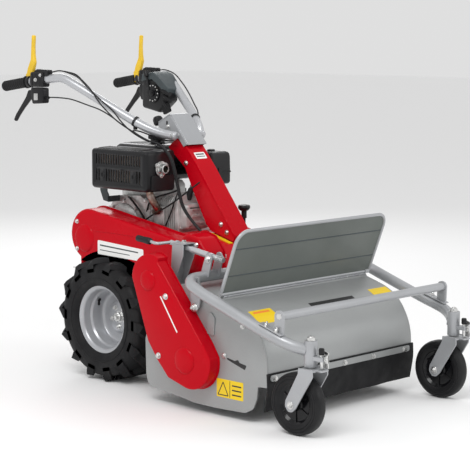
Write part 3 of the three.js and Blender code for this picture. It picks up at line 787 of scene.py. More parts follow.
def make_drive_belt_cover():
    """The long cover over the drive belt, cut away round the wheel."""
    lo, hi = box_mm("drive_belt_cover")
    outer, inner = lo.x, hi.x
    outline = arc(*COVER_ARC, -62, 98, 22)
    outline += rounded([(-352, 530), (-425, 512), (-462, 470), (-462, 402), (-448, 386), (-398, 330),
                        (-380, 322), (-300, 322)], [60, 26, 30, 16, 20, 14, 10, 18])
    outline += arc(0, WHEEL_Z, 214, 148, 50, 24)
    levels = [(inner, 0), (outer + 13, 0), (outer + 8, 0.7), (outer + 4.5, 2.4), (outer + 1.8, 5.3),
              (outer + 0.4, 9), (outer, 13)]
    shape = domed(outline, levels)
    shape.join(lathe([(0, -1), (48, -1), (46.5, 1.2), (43, 3.4), (38, 4.6), (20, 5.2), (0, 5.4)],
                     (outer, 114, 466), (-1, 0, 0), 48))
    swage = [(outer + 0.4, y, z) for y, z in ((64, 497), (-60, 496), (-180, 493), (-300, 489),
                                              (-404, 478))]
    shape.join(tube(swage, 2.4, 10, 40))
    piece("belt_cover_shell", shape, "chassis", "red", "drive_belt_cover", angle=30)
    flange = prism(inset(outline, -5), inner - 2.5, inner + 0.5)
    piece("belt_cover_flange", flange, "chassis", "red", bevel=0.8)
    spots = ((-418, 492), (-300, 350), (150, 520), (150, 428))
    screws = bolt_set(*[((outer - 0.2, y, z), (-1, 0, 0), 10, 5) for y, z in spots])
    piece("belt_cover_screws", screws, "chassis", "zinc", bevel=0.3)

    def panel(y0, y1, low, high, lift):
        """A flat patch on the cover, leaning with the cover's long edge; low and high run from 0 to 1."""
        foot, height, end = 419, 47, 47
        points = [(y, foot - 0.023 * (end - y) + t * (height - 0.032 * (end - y))) for y,
                  t in ((y0, low), (y1, low), (y1, high), (y0, high))]
        return prism(rounded(points, 5, 3), outer - lift, outer + 0.2)
    piece("belt_cover_label", panel(47, -174, 0, 1, 0.6), "chassis", "white", bevel=0.2)
    print_bands = panel(36, -150, 0.62, 0.72, 0.9).join(panel(36, -110, 0.3, 0.36, 0.9))
    piece("belt_cover_label_bands", print_bands, "chassis", "panel", bevel=0.1)


# ---- rotor belt cover ----
def make_rotor_belt_cover():
    """The leaning cover over the rotor belt, with a boss over each pulley."""
    lo, hi = box_mm("rotor_belt_cover")
    inner = hi.x
    face = lo.x + 8
    outline = arc(-376, 396, 79, 0, 118, 18) + [(-412, 455), (-610, 221)]
    outline += arc(-551, 164, 87, 168, 290, 18) + [(-458, 100), (-410, 149), (-369, 203)]
    levels = [(inner, 0), (face + 4, 0), (face + 2, 0.4), (face + 0.6, 1.6), (face, 3.4)]
    shape = domed(outline, levels)

    def boss(y, z, radius):
        profile = [(0, -2), (radius, -2), (radius, 1), (radius - 1.5, 3), (radius - 4, 4.8),
                   (radius - 9, 6.4), (radius * 0.45, 7.6), (radius * 0.2, 7.95), (0, 8)]
        return lathe(profile, (face, y, z), (-1, 0, 0), 56)
    shape.join(boss(-370, 393, 32)).join(boss(-530, 163, 41))
    rim = [(face - 0.2, y, z) for y, z in ((-414, 451), (-500, 350), (-606, 222))]
    shape.join(tube(rim, 2.6, 10, 2, smooth=False))
    piece("rotor_cover_shell", shape, "chassis", "red", "rotor_belt_cover", angle=32)
    flange = prism(inset(outline, -4), inner + 0.2, inner - 3)
    piece("rotor_cover_flange", flange, "chassis", "red", bevel=0.8)
    screws = bolt_set(*[((face + 0.3, y, z), (-1, 0, 0), 13, 6, 10) for y,
                        z in ((-449, 351), (-417, 163))])
    piece("rotor_cover_screws", screws, "chassis", "zinc", bevel=0.3)
    start, end = Vector((-426, 349)), Vector((-499, 246))
    across = Vector((0.81, -0.58)) * 2.4
    stripe = prism([tuple(start - across), tuple(start + across), tuple(end + across),
                    tuple(end - across)], face - 0.6, face + 0.2)
    piece("rotor_cover_stripe", stripe, "chassis", "white", bevel=0.15)


# ---- engine ----
def make_crankcase():
    """Crankcase, cylinder fins, head and rocker cover."""
    _, shaft_y, shaft_z = joint_mm("crankshaft_spin")
    case = prism(rounded([(-75, 402), (122, 402), (126, 470), (122, 560), (92, 604), (-30, 612),
                          (-75, 590)], 22), -98, 85)
    case.join(lathe([(0, 0), (72, 0), (72, 4), (64, 9), (30, 11), (0, 11)], (-98, shaft_y, shaft_z),
                    (-1, 0, 0), 40))
    for k in range(8):
        case.join(spun(block(-107, -97, -2.5, 2.5, 22, 68), (0, shaft_y, shaft_z), 22.5 + 45 * k))
    for z in (430, 470, 560):
        case.join(prism(rounded([(-79, z), (-79, z + 7), (126, z + 7), (126, z)], 2), -99, 86))
    case.join(prism(rounded([(-60, 590), (100, 590), (100, 640), (86, 654), (-46, 654), (-60, 640)], 10),
                    -60, 85))
    case.join(block(-92, 62, -95, -70, 432, 612))
    for k in range(9):
        y = -104 - 9.6 * k
        case.join(prism(rounded([(-90, 446), (58, 446), (62, 470), (62, 600), (46, 620), (-74, 620),
                                 (-92, 602), (-92, 462)], 12), y - 1.8, y + 1.8, "y"))
    case.join(block(-78, 48, -190, -90, 460, 602))
    piece("crankcase_casting", case, "chassis", "cast", "crankcase", bevel=1.6)
    head = prism(rounded([(-90, 450), (58, 450), (60, 610), (40, 622), (-78, 622), (-92, 606)], 10), -204,
                 -186, "y")
    head.join(prism(rounded([(-104, 520), (-60, 512), (-60, 590), (-104, 584)], 8), -150, -100, "y"))
    piece("cylinder_head", head, "chassis", "cast", bevel=2)
    cover = domed(rounded([(-84, 508), (30, 508), (30, 590), (22, 596), (-76, 596), (-84, 590)], 16),
                  [(-203, -4), (-207, -4), (-208, 0), (-226, 1), (-232, 4), (-235, 9), (-236.5, 16)], "y")
    for z in (530, 552, 574):
        cover.join(block(-60, 8, -239, -234, z, z + 6))
    piece("rocker_cover", cover, "chassis", "cast", bevel=1)
    shaft_bolts = ring_spots((-98, shaft_y, shaft_z), 80, 8)
    bolts = bolt_set(*[((x, -207, z), (0, -1, 0), 9, 6) for z in (514, 590) for x in (-80, 26)],
                     *[(spot, (-1, 0, 0), 9, 5) for spot in shaft_bolts],
                     *[((-98, y, z), (-1, 0, 0), 10, 6)
                       for y, z in ((-58, 596), (96, 590), (-58, 420), (104, 420))])
    piece("engine_bolts", bolts, "chassis", "zinc", bevel=0.3)
    filler = lathe([(0, 0), (15, 0), (15, 8), (19, 9), (19, 18), (16, 21), (0, 21)], (-97, 96, 440),
                   (-1, 0.2, 0.2), 20)
    filler.join(lathe([(0, 0), (9, 0), (11, 14), (10, 36), (7, 42), (0, 42)], (-40, -200, 606),
                      (0, -0.35, 0.94), 18))
    piece("oil_filler_and_plug_cap", filler, "chassis", "black", bevel=0.6)


def make_engine_dressing():
    """Hoses, governor arm, carburettor and the muffler bracket."""
    routes = (
        ([(-40, -212, 644), (-20, -232, 668), (30, -210, 676), (78, -150, 650), (92, -110, 620)], 3.6, 12,
         30),
        ([(-96, -60, 560), (-112, -92, 596), (-112, -130, 616), (-100, -170, 628), (-60, -180, 640)], 3, 10,
         30),
        ([(-106, -40, 520), (-112, -110, 556), (-110, -180, 590), (-96, -240, 632), (-50, -262, 668)], 2.6,
         10, 30),
        ([(-104, 20, 604), (-110, -20, 580), (-104, -52, 540), (-96, -64, 500)], 3.4, 10, 24),
        ([(-96, -150, 520), (-100, -176, 560), (-96, -196, 610), (-80, -196, 640)], 2.4, 10, 24),
    )
    hoses = Shape()
    for route in routes:
        hoses.join(tube(*route))
    piece("engine_hoses", hoses, "chassis", "rubber")
    arm = prism(rounded(rectangle(78, 92, 560, 640), 6), -92, -88, "y")
    arm.join(tube([(85, -96, 632), (85, -150, 636), (80, -186, 618)], 1.6, 8, 12))
    piece("governor_arm", arm, "chassis", "zinc", bevel=0.4)
    intake = prism(rounded([(60, 556), (112, 556), (112, 632), (96, 644), (60, 640)], 8), -176, -112, "y")
    intake.join(lathe([(0, 0), (22, 0), (22, 26), (18, 30), (0, 30)], (88, -144, 532), (0, 0, 1), 24))
    piece("carburettor", intake, "chassis", "cast", bevel=1.6)
    mount = prism(rounded([(78, 652), (112, 652), (112, 624), (96, 590), (70, 586), (70, 610), (78, 622)],
                          4), -150, -146)
    mount.join(block(-150, -98, 70, 74, 586, 606))
    piece("muffler_bracket", mount, "chassis", "panel", bevel=0.8)


GUARD_PITCH = 12.2


def slot_outline(y, z0, z1, half=3.1):
    """A slot with round ends, from z0 to z1; each end is three points between its corners."""
    def end(z, angles):
        return [(y + half * math.cos(math.radians(a)), z + half * math.sin(math.radians(a)))
                for a in angles]
    low, high = z0 + half, z1 - half
    return [(y - half, low), *end(low, (225, 270, 315)), (y + half, low), (y + half, high),
            *end(high, (45, 90, 135)), (y - half, high)]


def make_muffler():
    """The slotted guard with its ribs, the outlet and the exhaust pipe."""
    lo, hi = box_mm("muffler_guard")
    outline = rounded(rectangle(lo.y, hi.y, lo.z, hi.z - 2), [16, 16, 14, 14], 5)
    bosses = [(-112, 684), (36, 684)]
    holes = []
    count = int((hi.y - lo.y - 44) / GUARD_PITCH)
    start = (hi.y + lo.y) / 2 - (count - 1) * GUARD_PITCH / 2
    for k in range(count):
        y = start + k * GUARD_PITCH
        holes.append(slot_outline(y, 718, 754))
        if all(abs(y - b[0]) > 13 for b in bosses):
            holes.append(slot_outline(y, 662, 704))
    levels = [(hi.x, 0), (lo.x + 16, 0), (lo.x + 9, 1.4), (lo.x + 4, 4.6), (lo.x + 1.2, 8.8), (lo.x, 14)]
    shape = domed(outline, levels, "x", holes, open_start=True)
    guard = piece("muffler_guard_shell", shape, "chassis", "guard", "muffler_guard",
                  angle=34)
    wall = guard.modifiers.new("wall", "SOLIDIFY")
    wall.thickness = 3.2 * MM
    wall.offset = -1
    extras = Shape()
    for k in range(count):
        y = start + k * GUARD_PITCH
        path = [Vector(p) for p in ((lo.x + 4, y, hi.z - 12), (lo.x + 7, y + 1, hi.z - 6),
                                    (lo.x + 15, y + 3, hi.z - 1.6), (lo.x + 40, y + 9, hi.z - 1.2),
                                    (lo.x + 78, y + 18, hi.z - 1.2))]
        extras.join(along(path, lambda i: [(-2.6, -2), (2.6, -2), (2.2, 2), (-2.2, 2)]))
    for y, z in bosses:
        extras.join(lathe([(0, -3), (10, -3), (10, 1), (8.6, 2.2), (6.5, 2.2), (5.5, -0.5), (0, -0.5)],
                          (lo.x, y, z), (-1, 0, 0), 24))
    extras.join(prism(rounded(rectangle(lo.x + 20, hi.x - 4, 642, 690), 8), lo.y - 5, lo.y + 1, "y"))
    piece("guard_ribs", extras, "chassis", "guard", bevel=0.6)
    keep("muffler", "pipe", 0)
    outlet = (-140, lo.y - 1, 712)
    flange = lathe([(11.5, 0), (25, 0), (25, 4), (17, 5), (15.5, 8), (15.5, 23), (14.5, 24), (11.5, 24),
                    (11.5, 0)], outlet, (0, -1, 0), 36)
    for angle in (30, 150, 270):
        a = math.radians(angle)
        spot = (outlet[0] + 21.5 * math.cos(a), outlet[1] - 3.6, outlet[2] + 21.5 * math.sin(a))
        flange.join(lathe(rectangle(0, 8.5, -4, 1), spot, (0, -1, 0), 20))
        flange.join(hex_bolt(spot, (0, -1, 0), 9, 6, 0, 4))
    piece("exhaust_outlet", flange, "chassis", "zinc", bevel=0.5)
    pipe = tube([(-135, -110, 652), (-131, -112, 626), (-119, -118, 596), (-108, -122, 576),
                 (-97, -124, 564)], 12.5, 24, 30)
    pipe.join(rod(21, 5, (-104, -122, 570), (-0.68, 0.1, 0.73)))
    piece("exhaust_pipe", pipe, "chassis", "pipe", angle=40)


def make_tank():
    """The fuel tank with a seam, and its ribbed cap."""
    lo, hi = box_mm("fuel_tank")
    top = box_mm("fuel_cap")[0].z - 10.4
    outline = rounded(rectangle(lo.x, hi.x, lo.y, hi.y), 40, 8)
    levels = [(lo.z, 22), (lo.z + 4, 9), (lo.z + 12, 2), (lo.z + 22, 0), (703, 0), (704, -5), (708, -5),
              (709, 0), (738, 1.5), (755, 5.5), (767, 13), (774, 23), (top - 0.6, 38), (top, 60)]
    tank = domed(outline, levels, "z")
    cap_x, cap_y, _ = joint_mm("fuel_cap_turn")
    tank.join(lathe([(0, -8), (30, -8), (27, -2), (25, 3), (25, 9.6), (0, 9.6)], (cap_x, cap_y, top),
                    (0, 0, 1), 40))
    piece("fuel_tank_shell", tank, "chassis", "gloss", "fuel_tank", angle=30)
    cap = lathe([(0, 0.5), (30, 0.5), (31, 2), (31, 13), (29, 16), (22, 17.5), (0, 17.5)],
                (cap_x, cap_y, top + 10), (0, 0, 1), 48)
    for k in range(24):
        a = 2 * math.pi * k / 24
        spot = (cap_x + 30.8 * math.cos(a), cap_y + 30.8 * math.sin(a), top + 10)
        cap.join(lathe([(0, 1.5), (2.2, 1.5), (2.2, 12), (0, 12.5)], spot, (0, 0, 1), 8))
    cap.join(block(cap_x - 20, cap_x + 20, cap_y - 3.5, cap_y + 3.5, top + 27, top + 32))
    piece("fuel_cap_ribbed", cap, "fuel_cap", "black", "fuel_cap", bevel=0.5)


def make_air_filter():
    """The air filter box with its lid, clip and knob."""
    lo, hi = box_mm("air_filter")
    outline = rounded(rectangle(lo.x, hi.x, lo.y, hi.y), 14, 6)
    levels = [(lo.z, 6), (lo.z + 5, 1), (lo.z + 10, 0), (lo.z + 38, 0), (lo.z + 39, -3), (lo.z + 43, -3),
              (lo.z + 44, -0.5), (hi.z - 16, 1), (hi.z - 7, 3.5), (hi.z - 2, 9), (hi.z, 18)]
    shape = domed(outline, levels, "z")
    for k in range(4):
        y = lo.y + 18 + k * 21
        shape.join(block(lo.x - 2, hi.x + 2, y - 2, y + 2, lo.z + 52, hi.z - 20))
    piece("air_filter_box", shape, "chassis", "black", "air_filter", angle=30, bevel=0.5)
    clip = block(lo.x + 30, lo.x + 46, lo.y - 4, lo.y + 1, lo.z + 26, lo.z + 56)
    clip.join(disc(((lo.x + hi.x) / 2, (lo.y + hi.y) / 2, hi.z - 2), (0, 0, 1), 13, 9, 3))
    piece("air_filter_clip", clip, "chassis", "black", bevel=1)


def make_recoil_starter():
    """The fan shroud, the starter in front of it and its pull grip."""
    _, y, z = joint_mm("crankshaft_spin")
    lo, _ = box_mm("engine_shroud")
    profile = [(0, 0), (104, 0), (104, 44), (101, 51), (94, 56), (80, 58), (0, 58)]
    housing = lathe(profile, (lo.x, y, z), (1, 0, 0), 72)
    centre = (lo.x + 56, y, z)
    starter = lathe([(0, 0), (84, 0), (84, 26), (81, 34), (73, 39), (54, 42), (52, 44), (0, 44.5)], centre,
                    (1, 0, 0), 64)
    for k in range(20):
        starter.join(spun(block(98.5, 101.5, -4, 4, 57, 71), (lo.x - 1.5, y, z), 18 * k))
        starter.join(spun(block(70, 90, -3, 3, 82, 86), (lo.x, y, z), 18 * k))
    starter.join(lathe([(0, 43), (34, 43), (34, 46), (31, 48.5), (0, 49)], centre, (1, 0, 0), 40))
    housing.join(starter)
    piece("recoil_starter_housing", housing, "chassis", "black", "engine_shroud",
          angle=32, bevel=0.6)
    screws = bolt_set(*[(spot, (1, 0, 0), 9, 5) for spot in ring_spots((lo.x + 57.5, y, z), 92, 6, 30)])
    piece("starter_screws", screws, "chassis", "zinc", bevel=0.3)
    grip_lo, grip_hi = box_mm("recoil_handle")
    x = (grip_lo.x + grip_hi.x) / 2
    grip = domed(rounded(rectangle(grip_lo.x, grip_hi.x, y - 8, y + 8), 7, 5),
                 [(grip_hi.z - 16, 3), (grip_hi.z - 13, 0), (grip_hi.z - 4, 0), (grip_hi.z - 1, 2),
                  (grip_hi.z, 5)], "z")
    grip.join(lathe([(0, 0), (2.4, 0), (2.4, 48), (4, 50), (6.5, 60), (0, 60)], (x, y, grip_lo.z),
                    (0, 0, 1), 14))
    piece("recoil_grip", grip, "recoil_handle", "black", "recoil_handle", angle=30)


# ---- steering column and head ----
def make_column():
    """The folded steering column with its bolts and a plain label."""
    lo, hi = box_mm("steering_column")
    outline = rounded([(-104, 775), (-146, 807), (-166, 790), (-189, 782), (-247, 714), (-411, 503),
                       (-405, 482.5), (-303, 510.5), (-281, 532), (-214, 649), (-184, 710)],
                      [3, 4, 8, 8, 30, 6, 2, 8, 20, 40, 16])
    shape = prism(outline, lo.x, hi.x)
    piece("column_shell", shape, "chassis", "red", "steering_column", bevel=4.5, segments=3,
          angle=40)
    spots = ((-190, 726), (-350, 536), (-376, 512))
    bolts = bolt_set(*[((sign * (hi.x - 0.2), y, z), (sign, 0, 0), 10, 5, 8.5) for y, z in spots
                       for sign in (-1, 1)])
    piece("column_bolts", bolts, "chassis", "zinc", bevel=0.3)
    centre = Vector((0, -216, 750.4))
    down = Vector((0, -0.649, -0.761))
    out = Vector((0, -0.761, 0.649))

    def plate(width, height, offset, lift):
        """A flat panel on the column's slope, offset down it, its face standing out by lift."""
        outline = rounded(rectangle(-width, width, -height, height), height * 0.3, 3)
        points = [centre + Vector((u, 0, 0)) + down * (v + offset) for u, v in outline]
        n = len(points)
        faces = [tuple(range(n)), tuple(range(2 * n - 1, n - 1, -1))]
        faces += [(i, (i + 1) % n, n + (i + 1) % n, n + i) for i in range(n)]
        return Shape().add([p - out * 0.5 for p in points] + [p + out * lift for p in points], faces)
    piece("column_label", plate(24, 13, 0, 0.5), "chassis", "white")
    bands = plate(19, 2.4, -5, 0.8).join(plate(19, 1.6, 4, 0.8))
    piece("column_label_bands", bands, "chassis", "panel")


def make_head():
    """The folded head, its pivot bolts, the tilt lock knob and the selector pull."""
    half = 44.5
    outline = rounded([(-62, 852), (-119, 883), (-199, 787), (-181, 779), (-156, 807), (-64, 826)],
                      [5, 12, 3, 3, 10, 4])
    front = sheet_strip([(-200, 785), (-186, 802), (-135, 864), (-122, 879), (-114, 881), (-62, 853)], -4)
    shell = prism(outline, -half, -half + 4).join(prism(outline, half - 4, half))
    shell.join(prism(front, -half + 1, half - 1))
    for x in (-22, 8):
        ridge = [Vector(p) for p in ((x, -128, 876.5), (x, -150, 850), (x, -178, 816))]
        shell.join(along(ridge, lambda i: [(-2.4, -1.5), (2.4, -1.5), (1.4, 1.4), (-1.4, 1.4)]))
    piece("head_shell", shell, "chassis", "silver", "column_head", bevel=2.2, segments=3,
          angle=40)
    pivot = joint_mm("handlebar_height")
    bolts, holes = Shape(), Shape()
    for sign in (-1, 1):
        bolts.join(rod(7.5, 34, (sign * 44, pivot[1], pivot[2]), (sign, 0, 0), 20))
        bolts.join(hex_bolt((sign * half, -109, 842), (sign, 0, 0), 10, 5, 8.5))
        # The slot is not cut: a thin black patch of painted shade stands where its dark opening shows.
        slot = [*arc(-104, 858, 4, 0, 180, 8), *arc(-104, 846, 4, 180, 360, 8)]
        holes.join(prism(slot, sign * (half + 0.3), sign * (half - 1)))
    piece("head_bolts", bolts, "chassis", "zinc", bevel=0.4)
    piece("head_slot_shade", holes, "chassis", "print_black", bevel=0.1)
    base = Vector((0, -20, 843))
    knob_axis = Vector((0, 10, 30)).normalized()
    knob = lathe([(0, 0), (13, 0), (15, 3), (15, 24), (13.5, 28), (9, 30), (0, 30)], base, knob_axis, 32)
    across = knob_axis.orthogonal().normalized()
    upright = knob_axis.cross(across)
    for k in range(8):
        a = 2 * math.pi * k / 8
        spot = base + (across * math.cos(a) + upright * math.sin(a)) * 14
        knob.join(lathe([(0, 4), (3, 4), (3, 22), (0, 24)], spot, knob_axis, 10))
    knob.join(tube([(0, -71, 845), (0, -45, 847.5), (0, -20, 850)], 5, 14, smooth=False))
    piece("tilt_lock_knob", knob, "lock_knob", "black", "lock_knob", bevel=0.4)
    profile = [(0, 0), (5.4, 0), (5.4, 74), (9, 75), (9, 98), (16, 102), (20, 108), (20.5, 113), (18, 118),
               (10, 120), (0, 120)]
    selector = lathe(profile, (90, -330, 470), (0, 0, 1), 32)
    piece("selector_pull", selector, "selector_knob", "black", "selector_knob", angle=40)


# ---- deck ----
PLATE_OUTER, PLATE_INNER = -345, -340
FLAP_BAR_FACE = -844.5
HOOD_FRONT = [(-690, 346), (-730, 332), (-768, 310), (-798, 277), (-824, 227), (-833, 185), (-833, 122)]


def hood_curve():
    """The hood's outer line: a back slope, a bend, a small step at the hinge, then the curved front."""
    rear = rounded([(-315, 112), (-315, 205), (-385, 306), (-455, 387), (-600, 374.5)], [0, 40, 0, 26, 0],
                   6)[:-1]
    step = rounded([(-600, 374.5), (-640, 371), (-648, 358), (-690, 346)], [0, 3, 4, 0], 3)[:-1]
    front = smooth_path([(0, u, v) for u, v in HOOD_FRONT], 44)
    return rear + step + [(p.y, p.z) for p in front]


def make_deck():
    """The hood, the two side plates and the strip along the hinge."""
    lo, hi = box_mm("deck_hood")
    curve = hood_curve()
    sheet = prism(sheet_strip(curve, -4), lo.x, hi.x)
    sheet.join(tube([(lo.x + 1, -833, 120), (hi.x - 1, -833, 120)], 4.5, 12, smooth=False))
    piece("hood_sheet", sheet, "chassis", "sheet", "deck_hood", angle=24)
    outer, inner = PLATE_OUTER, PLATE_INNER
    skid = [(-833, 118), (-797, 116), (-793, 80), (-777, 45), (-745, 29), (-716, 28), (-620, 25),
            (-535, 26), (-469, 35), (-380, 43), (-345, 46), (-325, 60), (-318, 90)]
    radii = [3, 4, 20, 26, 26, 0, 0, 30, 40, 40, 20, 20, 12]
    outline = rounded(curve[1:-1] + skid, [0] * (len(curve) - 2) + radii, 4)
    outline = [p for i, p in enumerate(outline) if math.dist(p, outline[i - 1]) > 0.3]
    _, pivot_y, pivot_z = joint_mm("cutting_height")
    _, rotor_y, rotor_z = joint_mm("rotor_spin")
    for name, sign in SIDES:
        plate = prism(outline, inner, outer)
        plate.join(lathe([(0, 0), (8, 0), (8, 13), (7, 14), (0, 14)], (outer + 1, pivot_y, pivot_z),
                         (-1, 0, 0), 24))
        lug = rounded([(-590, 250), (-618, 246), (-622, 300), (-606, 318), (-590, 306)], [4, 6, 8, 8, 8],
                      4)
        plate.join(prism(lug, outer - 4, outer + 0.2))
        bolts = bolt_set(*[((outer, y, z), (-1, 0, 0), 11, 5, 9) for y, z in ((-659, 191), (-735, 290))])
        if sign > 0:
            plate.join(prism(arc(rotor_y, rotor_z, 46, 0, 350, 35), outer - 3, outer + 0.2))
            for spot in ring_spots((outer - 3, rotor_y, rotor_z), 34, 4, 45):
                bolts.join(hex_bolt(spot, (-1, 0, 0), 12, 6))
            cap = [(0, 0), (20, 0), (20, 6), (15, 12), (0, 13)]
            bolts.join(lathe(cap, (outer - 3, rotor_y, rotor_z), (-1, 0, 0), 32))
            plate.mirror()
            bolts.mirror()
        piece(f"skid_plate_{name}", plate, "chassis", "sheet", f"side_plate_{name}",
              bevel=0.9, angle=40)
        piece(f"side_bolts_{name}", bolts, "chassis", "zinc", bevel=0.3)
    hinge = prism(rounded([(-636, 366), (-646, 363), (-650, 368), (-644, 373.5), (-636, 374)], 2, 3), -337,
                  337)
    piece("hinge_strip", hinge, "chassis", "tube", bevel=0.5)


def make_labels():
    """Plain generic panels where the real mower has its stickers; painted shade over the latch slot."""
    def side_patch(points, lift):
        return prism(rounded(points, 3, 3), PLATE_OUTER - lift, PLATE_OUTER + 0.2)

    def stroke(points, width, lift):
        shape = Shape()
        for (y0, z0), (y1, z1) in zip(points, points[1:]):
            d = Vector((y1 - y0, z1 - z0)).normalized() * width / 2
            quad = [(y0 - d.y, z0 + d.x), (y0 + d.y, z0 - d.x), (y1 + d.y, z1 - d.x), (y1 - d.y, z1 + d.x)]
            shape.join(prism(quad, PLATE_OUTER - lift, PLATE_OUTER + 0.2))
        return shape
    panel = side_patch(rectangle(-628, -738, 63, 119), 0.5)
    piece("side_label", panel, "chassis", "label_yellow", bevel=0.15)
    print_and_slot_shade = stroke([(-634, 70), (-676, 70), (-655, 110), (-634, 70)], 3, 0.8)
    print_and_slot_shade.join(stroke([(-683, 66), (-683, 116)], 2, 0.8))
    for k in range(3):
        print_and_slot_shade.join(stroke([(-692, 76 + 14 * k), (-730, 76 + 14 * k)], 4, 0.8))
    # The slot is not cut: a black patch of painted shade stands where its dark opening shows.
    slot = [(-670, 187), (-702, 181), (-716, 186), (-722, 178), (-751, 173), (-744, 159), (-724, 165),
            (-700, 172), (-672, 181)]
    print_and_slot_shade.join(side_patch(slot, 0.3))
    piece("side_label_print_and_slot_shade", print_and_slot_shade, "chassis", "print_black")
    curve = hood_curve()

    def height(y):
        """The hood's top at a place along its front part."""
        for a, b in zip(curve, curve[1:]):
            if b[0] <= y <= a[0] < -455 and b[0] < a[0]:
                return a[1] + (b[1] - a[1]) * (a[0] - y) / (a[0] - b[0])
        return curve[-1][1]

    def on_hood(x0, x1, y_back, y_front, lift):
        """A thin patch that follows the hood between two places along its length."""
        inside = [p for p in curve if y_front < p[0] < y_back and p[1] > 200]
        line = [(y_back, height(y_back)), *inside, (y_front, height(y_front))]
        points = [(y, z + lift) for y, z in line] + [(y, z - 0.6) for y, z in reversed(line)]
        return prism(points, x0, x1)
    piece("hood_label_right", on_hood(-322, -226, -734, -781, 0.7), "chassis", "label_yellow", bevel=0.1)
    piece("hood_label_right_band", on_hood(-310, -240, -741, -748, 1.1), "chassis", "orange")
    piece("hood_label_left", on_hood(246, 338, -730, -764, 0.7), "chassis", "label_yellow", bevel=0.1)
    piece("hood_stripe", on_hood(-60, 150, -744, -756, 0.8), "chassis", "print_black")


def make_flap():
    """The rubber flap with a slight wave, and the bar and bolts that hold it."""
    lo, hi = box_mm("rubber_flap")
    steps = 24
    line = smooth_path([(0, -834, 160), (0, -835.5, 140), (0, -835.5, 114), (0, -831, 84), (0, -824, 46)],
                       14)
    verts, faces = [], []
    for i in range(steps + 1):
        x = lo.x + (hi.x - lo.x) * i / steps
        sway = 1.6 * math.sin(x / 38) + 1.1 * math.sin(x / 17 + 1)
        for thick in (0, -5):
            for k, p in enumerate(line):
                hang = (k / (len(line) - 1)) ** 1.6
                verts.append((x, p.y + thick + sway * hang, p.z + (0.5 * math.sin(x / 30) * hang)))
    n = len(line)
    for i in range(steps):
        a, b = i * 2 * n, (i + 1) * 2 * n
        for k in range(n - 1):
            faces.append((a + k, a + k + 1, b + k + 1, b + k))
            faces.append((a + n + k, b + n + k, b + n + k + 1, a + n + k + 1))
        faces.append((a, b, b + n, a + n))
        faces.append((a + n - 1, a + 2 * n - 1, b + 2 * n - 1, b + n - 1))
    for i in (0, steps):
        a = i * 2 * n
        for k in range(n - 1):
            quad = (a + k, a + n + k, a + n + k + 1, a + k + 1)
            faces.append(quad if i == 0 else tuple(reversed(quad)))
    piece("front_flap", Shape().add(verts, faces), "chassis", "rubber", "rubber_flap", angle=50)
    bar_lo, bar_hi = box_mm("flap_bar")
    bar = prism(rounded(rectangle(bar_lo.x, bar_hi.x - 14, 137, 156), 8, 5), FLAP_BAR_FACE, -840, "y")
    piece("flap_clamp_bar", bar, "chassis", "sheet", "flap_bar", bevel=0.8)
    bolts = bolt_set(*[((x, FLAP_BAR_FACE, 146), (0, -1, 0), 12, 5, 9)
                       for x in (-322, -150, -2, 138, 295)])
    piece("flap_bolts", bolts, "chassis", "zinc", bevel=0.3)


def make_deflector():
    """The plate that stands up from the hood, with its rim, hinge rod and two creases in painted shade."""
    _, y, z = joint_mm("deflector_fold")
    lean = 21
    tilt = Matrix.Translation((0, y, z)) @ Matrix.Rotation(math.radians(90 + lean), 4, "X")
    half, length, corner = 350, 209, 42
    outline = [(-half, 2), (half, 2), *arc(half - corner, length - corner, corner, 0, 90, 10),
               *arc(-half + corner, length - corner, corner, 90, 180, 10)]
    plate = prism(outline, -1.5, 1.5, "z")
    piece("deflector_plate", plate.turned(tilt), "deflector", "inner", "deflector",
          bevel=0.4)
    edge = [(u, v, 0.0) for u, v in outline[1:]] + [(-half, 2, 0.0)]
    rim = along([Vector(p) for p in edge], lambda i: circle(5.4, 14))
    rim.join(lathe(rectangle(0, 5, -half, half), (0, 0, 0), (1, 0, 0), 18))
    rim.join(lathe(rectangle(0, 7.5, -9, 9), (half - 12, 0, 0), (1, 0, 0), 18))
    piece("deflector_rim", rim.turned(tilt), "deflector", "silver", angle=50)
    # Dark ridges along the creases: painted shade, darker than the plate.
    crease_shade = Shape()
    for v in (60, 150):
        for level in (1.2, -1.2):
            crease_shade.join(prism([(v - 2.6, level), (v, level * 2.6), (v + 2.6, level)], -half + 8,
                               half - 8))
    piece("deflector_crease_shade", crease_shade.turned(tilt), "deflector", "panel", bevel=0.3)


# ---- castor frame ----
ARM_LINE = [(-352, -988, 255), (-374, -962, 265), (-388, -930, 277), (-392, -890, 289), (-392, -850, 301),
            (-392, -720, 344), (-392, -600, 385), (-384, -556, 402), (-358, -536, 411), (-312, -532, 413),
            (-150, -532, 413)]
ARM_RADIUS = 17
LUG_PIN = (-550, 468)
LUG_NEAR, LUG_FAR = -304.5, -258
LUG_THICKNESS = 6


